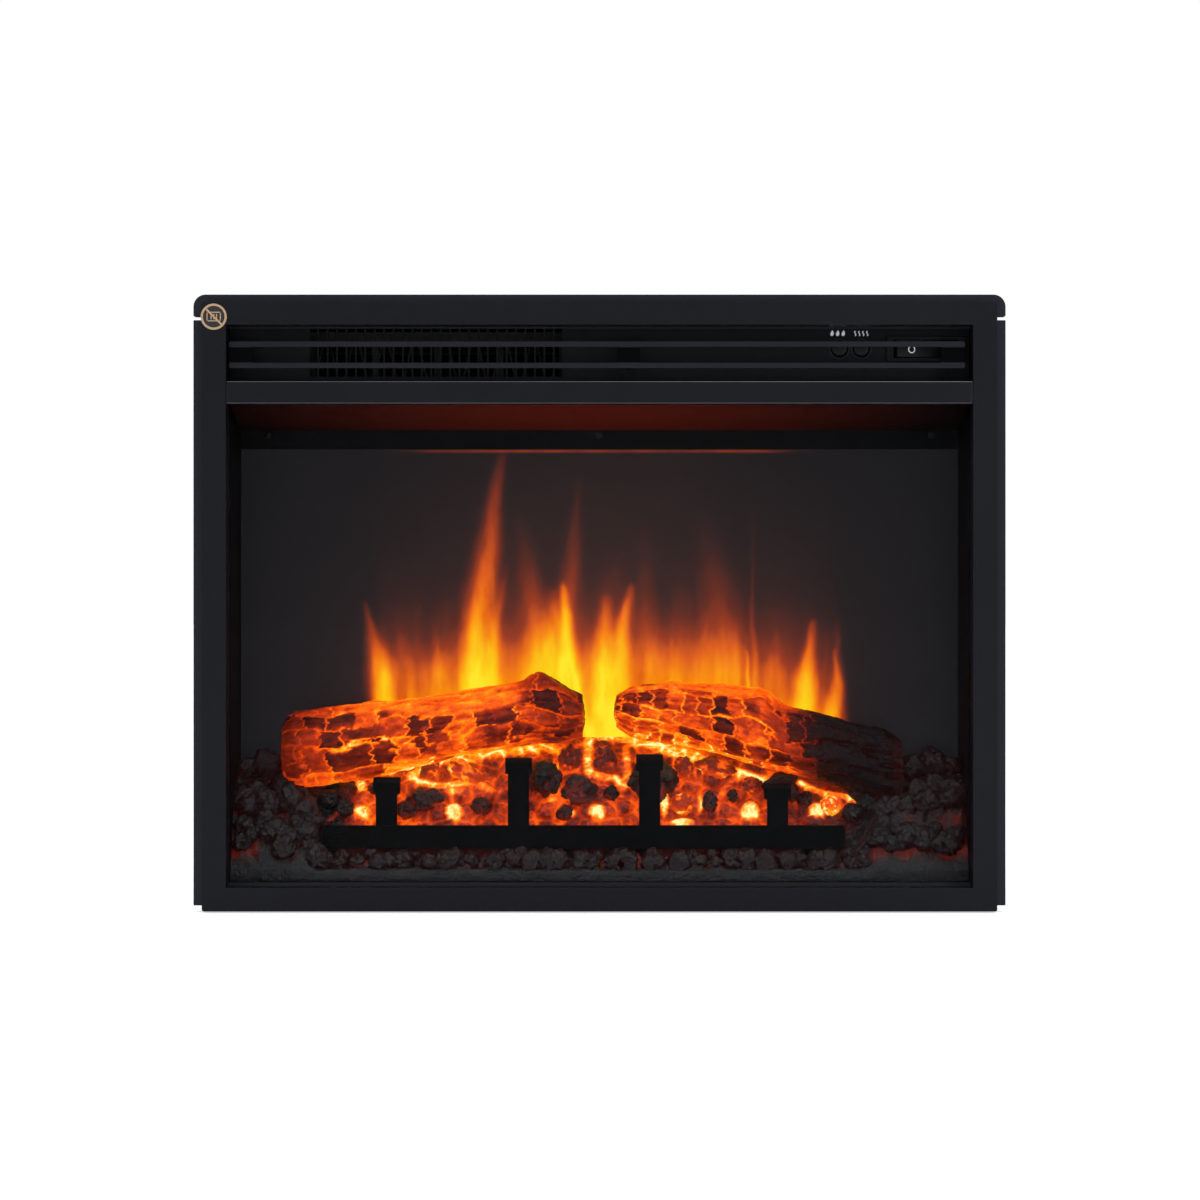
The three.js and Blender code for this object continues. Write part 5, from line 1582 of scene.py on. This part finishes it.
class FIRE_OT_ember_bed(bpy.types.Operator):
    """Models the bed of coals: a cast tray with hot ridges and coals set in and lying on it"""

    bl_idname = "fire.ember_bed"
    bl_label = "Ember bed"

    def execute(self, context):
        bed = self.tray()
        hand_over(bed, "ember_bed_tray", "casing", FINISH["ember"], ("ember_bed",), 70.0)
        bpy.ops.object.select_all(action="DESELECT")
        bpy.ops.mesh.primitive_ico_sphere_add(subdivisions=5, radius=1.0)
        large = bpy.context.active_object
        bpy.ops.object.select_all(action="DESELECT")
        bpy.ops.mesh.primitive_ico_sphere_add(subdivisions=4, radius=1.0)
        small = bpy.context.active_object
        chance = np.random.default_rng(4)
        coals = join(self.set_coals(large, chance), "set_coals")
        hand_over(coals, coals.name, "casing", FINISH["ember"], (), 60.0)
        coals = join(self.loose_coals(small, chance), "loose_coals")
        hand_over(coals, coals.name, "casing", FINISH["ember"], (), 60.0)
        for model in (large, small):
            bpy.data.objects.remove(model)
        return {"FINISHED"}

    def tray(self):
        """The cast tray: a sheet that follows the slope, with lumps, seams and glowing ridges."""
        wide, deep = BED_HI.x - BED_LO.x, BED_HI.y - BED_LO.y
        bpy.ops.object.select_all(action="DESELECT")
        bpy.ops.mesh.primitive_grid_add(
            x_subdivisions=BED_COLUMNS, y_subdivisions=BED_ROWS, size=1.0,
            location=((BED_LO.x + BED_HI.x) / 2, (BED_LO.y + BED_HI.y) / 2, 0),
        )
        bed = bpy.context.active_object
        bed.scale = (wide, deep, 1)
        settle(bed)
        co = points_of(bed)
        x = co[:, 0] * 1000
        # Rows are spread evenly along the slope rather than over the floor.
        d_fine = np.linspace(0, deep * 1000, 400)
        z_fine = along(BED_PROFILE, d_fine)
        run = np.concatenate([[0], np.cumsum(np.hypot(np.diff(d_fine), np.diff(z_fine)))])
        share = (co[:, 1] - BED_LO.y) / deep
        s = share * run[-1]
        d = np.interp(s, run, d_fine)
        height = np.minimum(bed_height(x, d), log_underside(x))
        warp = 5 * (cloud(x / 20, s / 20, seed=3) - 0.5)
        _, edge, tone = cells((x + warp) / 17, (s + warp) / 14, seed=8)
        _, small_edge, _ = cells((x - warp) / 6.5, (s + warp) / 6, seed=14)
        rough = smooth(2.0, 6.0, d) * smooth(deep * 1000 - 1, deep * 1000 - 5, d)
        warm = bed_warmth(x, height)
        ridge = smooth(0.55, 0.85, warm)
        lump = 4.5 * smooth(0.0, 0.4, edge) * (0.4 + tone) + 2.0 * smooth(0.0, 0.4, small_edge) - 4
        relief = rough * (lump * (1 - 0.8 * ridge) + 3.0 * (cloud(x / 7, s / 7, seed=21) - 0.5) + 1.2 * ridge)
        steep = smooth(22, 28, d)
        out = co.copy()
        out[:, 1] = BED_LO.y + (d - relief * 0.75 * steep) * MM
        out[:, 2] = BASE + (height + relief * (1 - 0.55 * steep)) * MM
        out[:, 1] = np.clip(out[:, 1], BED_LO.y, BED_HI.y)
        set_points(bed, out)
        gap = 1 - smooth(0.02, 0.30, edge)
        fine_gap = 1 - smooth(0.02, 0.30, small_edge)
        crust = smooth(0.35, 0.65, cloud(x / 11, s / 11, octaves=3, seed=31))
        seams = np.maximum(gap, 0.6 * fine_gap)
        glow = warm * (0.74 + 0.34 * seams - 0.30 * crust * (1 - ridge) + 0.2 * ridge)
        glow = glow * rough
        beside = beside_fire(x)
        glow = glow * (1 - beside) + 0.17 * gap * beside * smooth(0.3, 0.7, tone) * rough
        near = smooth(30, 16, d) * rough
        glow = np.maximum(glow, 0.20 * near * smooth(0.35, 0.6, cloud(x / 16, d / 6, seed=40)))
        set_attribute(bed, "ember_glow", np.clip(glow, 0, 1))
        set_attribute(bed, "bark_char", np.clip(1.1 - warm, 0, 1) * rough + 0.9 * (1 - rough))
        self.close_below(bed)
        return bed

    def close_below(self, bed):
        """Walls the cast sheet down to the floor of the firebox and closes it underneath."""
        activate(bed)
        bpy.ops.object.mode_set(mode="EDIT")
        bpy.ops.mesh.select_mode(type="EDGE")
        bpy.ops.mesh.select_all(action="DESELECT")
        bpy.ops.mesh.select_non_manifold()
        bpy.ops.mesh.extrude_region_move(TRANSFORM_OT_translate={"value": (0, 0, -0.02)})
        bpy.ops.object.mode_set(mode="OBJECT")
        co = points_of(bed)
        rim = np.array([vertex.select for vertex in bed.data.vertices])
        co[rim, 2] = BED_LO.z
        set_points(bed, co)
        bpy.ops.object.mode_set(mode="EDIT")
        bpy.ops.mesh.edge_face_add()
        bpy.ops.mesh.select_all(action="SELECT")
        bpy.ops.mesh.normals_make_consistent(inside=False)
        bpy.ops.object.mode_set(mode="OBJECT")
        glow = np.empty(len(bed.data.vertices), np.float32)
        bed.data.attributes["ember_glow"].data.foreach_get("value", glow)
        set_attribute(bed, "ember_glow", np.where(rim, 0, glow))

    def set_coals(self, model, chance):
        """The large coals, each half sunk in the slope."""
        depth_at = [(height, depth) for depth, height in BED_PROFILE]
        made = []
        for x, z, half_wide, half_high, heat in SET_COALS:
            z = min(z, float(log_underside(np.array([x]), 0.0)[0]) - half_high * 0.4)
            d = float(along(depth_at, z))
            size = (half_wide, min(half_wide, half_high) * 0.95, half_high)
            made.append(self.coal(copied(model, (0, 0, 0)), x, d - 1.0, z, size, heat, chance))
        return made

    def loose_coals(self, model, chance):
        """Coals in rows: the front row, the crumbs on the slope and the dark heaps beside it."""
        # Each row: how many, x from, x to, distance from the lip, spread, size, heat.
        rows = [
            (33, -236, 228, 9, 2.5, 8.6, 0.03),
            (20, -226, 214, 19, 2, 6.5, 0.05),
            (16, -298, -232, 12, 5, 9.0, 0.02),
            (16, 226, 298, 12, 5, 9.0, 0.02),
            (11, -298, -238, 30, 7, 11.0, 0.03),
            (11, 228, 298, 30, 7, 11.0, 0.03),
            (8, -296, -246, 52, 6, 12.0, 0.03),
            (8, 240, 296, 52, 6, 12.0, 0.03),
        ]
        made = []
        for count, x0, x1, distance, spread, size, heat in rows:
            for k in range(count):
                x = x0 + (x1 - x0) * (k + 0.5 + 0.35 * chance.uniform(-1, 1)) / count
                x = max(min(x, BED_HI.x * 1000 - 6), BED_LO.x * 1000 + 6)
                d = distance + spread * chance.uniform(-1, 1)
                scale = size * chance.uniform(0.72, 1.22)
                ground = float(bed_height(np.array([x]), np.array([d]))[0])
                ground = min(ground, float(log_underside(np.array([x]))[0]) - scale)
                lump = copied(model, (0, 0, 0))
                made.append(self.coal(lump, x, d, ground + scale * 0.3, (scale,) * 3, heat, chance))
        return made

    def coal(self, lump, x, d, z, size, heat, chance):
        """Turns a round lump into a broken coal at (x, distance from the lip, height)."""
        co = points_of(lump)
        offset = chance.uniform(0, 50, 3)
        p = co * 2.1 + offset
        dents = cloud(p[:, 0], p[:, 1], p[:, 2], octaves=5, seed=2)
        facets = np.abs(cloud(p[:, 1] * 1.3, p[:, 2] * 1.3, p[:, 0] * 1.3, octaves=4, seed=6) - 0.5)
        radius = 0.66 + 0.78 * dents - 0.75 * facets
        turn = Matrix.Rotation(chance.uniform(-0.5, 0.5), 3, "Y")
        shape = (co * radius[:, None] * np.array(size)) @ np.array(turn).T
        shape = shape + np.array([x, BED_LO.y * 1000 + d, BASE * 1000 + z])
        shape[:, 1] = np.clip(shape[:, 1], BED_LO.y * 1000 + 0.5, BED_HI.y * 1000 - 0.2)
        set_points(lump, shape * MM)
        warm = bed_warmth(np.full(len(co), float(x)), np.full(len(co), float(z)))
        rim = smooth(0.35, -0.25, -co[:, 1])
        below = smooth(0.2, -0.9, co[:, 2])
        pits = smooth(0.50, 0.34, dents)
        glow = heat + 0.45 * warm * rim + 0.30 * warm * below + (0.25 * warm + 0.35 * heat) * pits
        set_attribute(lump, "ember_glow", np.clip(glow, 0, 1))
        set_attribute(lump, "bark_char", np.full(len(co), 1.0 - 0.8 * heat))
        return lump


# ------------------------------------------------------------------ stage
class FIRE_OT_stage(bpy.types.Operator):
    """Sets the camera, the pale floor and the soft light"""

    bl_idname = "fire.stage"
    bl_label = "Stage"

    def execute(self, context):
        scene = context.scene
        scene.view_settings.view_transform = "Standard"
        studio = scene.fire_studio
        camera = bpy.data.cameras.new("camera")
        camera.sensor_width = 36.0
        camera.lens = camera.sensor_width * studio.camera_distance / studio.field_width
        camera.clip_end = 50.0
        holder = bpy.data.objects.new("camera", camera)
        holder.location = (EYE_OFFSET, FRAME_LO.y - studio.camera_distance, EYE_HEIGHT)
        holder.rotation_euler = (math.pi / 2, 0, 0)
        COLLECTION.objects.link(holder)
        scene.camera = holder
        self.floor()
        self.lights(studio.light_power)
        self.world(scene)
        return {"FINISHED"}

    def floor(self):
        """A pale floor that shows evenly bright, with only a soft shadow under the insert."""
        bpy.ops.object.select_all(action="DESELECT")
        bpy.ops.mesh.primitive_plane_add(size=60.0, location=(0, 0, 0))
        floor = bpy.context.active_object
        floor.name = "floor"
        shader = Shader("pale_floor")
        shader.set("Base Color", (0.8, 0.8, 0.8))
        shader.set("Roughness", 0.95)
        shader.set("Specular IOR Level", 0.0)
        shader.set("Emission Color", (1.0, 1.0, 1.0))
        seen = shader.node("ShaderNodeLightPath").outputs["Is Camera Ray"]
        shader.link(shader.maths("MULTIPLY", seen, 0.62), "Emission Strength")
        floor.data.materials.append(shader.material)

    def lights(self, power):
        """Square lamps above, beside and behind, two upright strips and a broad overhead light."""
        # Each lamp: name, place, width, share of the power, the point that it is turned to.
        for name, place, size, share, aim in (
            ("key", (0.9, -1.6, 2.3), 1.6, 1.0, (0, 0, 0.3)),
            ("fill", (-1.9, -1.7, 1.3), 1.4, 0.35, (0, 0, 0.25)),
            ("back", (0.0, 2.0, 1.9), 1.6, 0.5, (0, 0, 0.3)),
            ("right_strip", (1.7, -1.5, 0.5), 0.25, 0.45, (0, 0, 0.25)),
            ("left_strip", (-1.9, -1.1, 0.6), 0.20, 0.30, (0, 0, 0.25)),
        ):
            lamp = bpy.data.lights.new(name, "AREA")
            lamp.size = size
            lamp.color = (0.90, 0.94, 1.0)
            lamp.energy = power * share
            if name.endswith("strip"):
                lamp.shape = "RECTANGLE"
                lamp.size_y = 1.5
            holder = bpy.data.objects.new(name, lamp)
            holder.location = place
            away = Vector(place) - Vector(aim)
            holder.rotation_euler = away.to_track_quat("Z", "Y").to_euler()
            COLLECTION.objects.link(holder)
        sun = bpy.data.lights.new("overhead", "SUN")
        sun.angle = math.radians(60.0)
        sun.energy = 1.3
        holder = bpy.data.objects.new("overhead", sun)
        holder.rotation_euler = (math.radians(8.0), 0, 0)
        COLLECTION.objects.link(holder)

    def world(self, scene):
        """White to the camera; to the object a room that is bright above and dim at eye level."""
        world = bpy.data.worlds.new("studio")
        scene.world = world
        world.use_nodes = True
        tree = world.node_tree
        tree.nodes.clear()
        path = tree.nodes.new("ShaderNodeLightPath")
        seen = tree.nodes.new("ShaderNodeBackground")
        seen.inputs["Color"].default_value = (1, 1, 1, 1)
        seen.inputs["Strength"].default_value = 1.0
        direction = tree.nodes.new("ShaderNodeTexCoord")
        split = tree.nodes.new("ShaderNodeSeparateXYZ")
        tree.links.new(direction.outputs["Generated"], split.inputs[0])
        rising = tree.nodes.new("ShaderNodeMapRange")
        rising.inputs["From Min"].default_value = 0.05
        rising.inputs["From Max"].default_value = 0.8
        rising.inputs["To Min"].default_value = 0.08
        rising.inputs["To Max"].default_value = 0.55
        tree.links.new(split.outputs["Z"], rising.inputs["Value"])
        around = tree.nodes.new("ShaderNodeBackground")
        around.inputs["Color"].default_value = (0.84, 0.89, 1, 1)
        tree.links.new(rising.outputs["Result"], around.inputs["Strength"])
        mix = tree.nodes.new("ShaderNodeMixShader")
        output = tree.nodes.new("ShaderNodeOutputWorld")
        tree.links.new(path.outputs["Is Camera Ray"], mix.inputs[0])
        tree.links.new(around.outputs[0], mix.inputs[1])
        tree.links.new(seen.outputs[0], mix.inputs[2])
        tree.links.new(mix.outputs[0], output.inputs["Surface"])


# ------------------------------------------------------------------ panel and registration
OPERATORS = (
    FIRE_OT_stage,
    FIRE_OT_inner_parts,
    FIRE_OT_sheet_metal,
    FIRE_OT_frame_seals,
    FIRE_OT_intake_filter,
    FIRE_OT_feet,
    FIRE_OT_screws,
    FIRE_OT_controls,
    FIRE_OT_sticker,
    FIRE_OT_flames,
    FIRE_OT_logs,
    FIRE_OT_ember_bed,
)
GROUPS = {"fire_finish": FIRE_PG_finish, "fire_fire": FIRE_PG_fire, "fire_studio": FIRE_PG_studio}


class FIRE_PT_panel(bpy.types.Panel):
    """Lists the steps that build the insert"""

    bl_idname = "FIRE_PT_panel"
    bl_label = "Fireplace insert"
    bl_space_type = "VIEW_3D"
    bl_region_type = "UI"
    bl_category = "Fireplace"

    def draw(self, context):
        for group in GROUPS:
            settings = getattr(context.scene, group)
            for name in settings.__annotations__:
                self.layout.prop(settings, name)
        for operator in OPERATORS:
            self.layout.operator(operator.bl_idname)


def register():
    for group in GROUPS.values():
        bpy.utils.register_class(group)
    for name, group in GROUPS.items():
        setattr(bpy.types.Scene, name, bpy.props.PointerProperty(type=group))
    for operator in (*OPERATORS, FIRE_PT_panel):
        bpy.utils.register_class(operator)


def unregister():
    for operator in reversed((*OPERATORS, FIRE_PT_panel)):
        bpy.utils.unregister_class(operator)
    for name, group in GROUPS.items():
        delattr(bpy.types.Scene, name)
        bpy.utils.unregister_class(group)


def main():
    register()
    bpy.ops.object.select_all(action="DESELECT")
    FINISH.update(build_finishes())
    for operator in OPERATORS:
        group, name = operator.bl_idname.split(".")
        getattr(getattr(bpy.ops, group), name)()


if __name__ == "__main__":
    main()
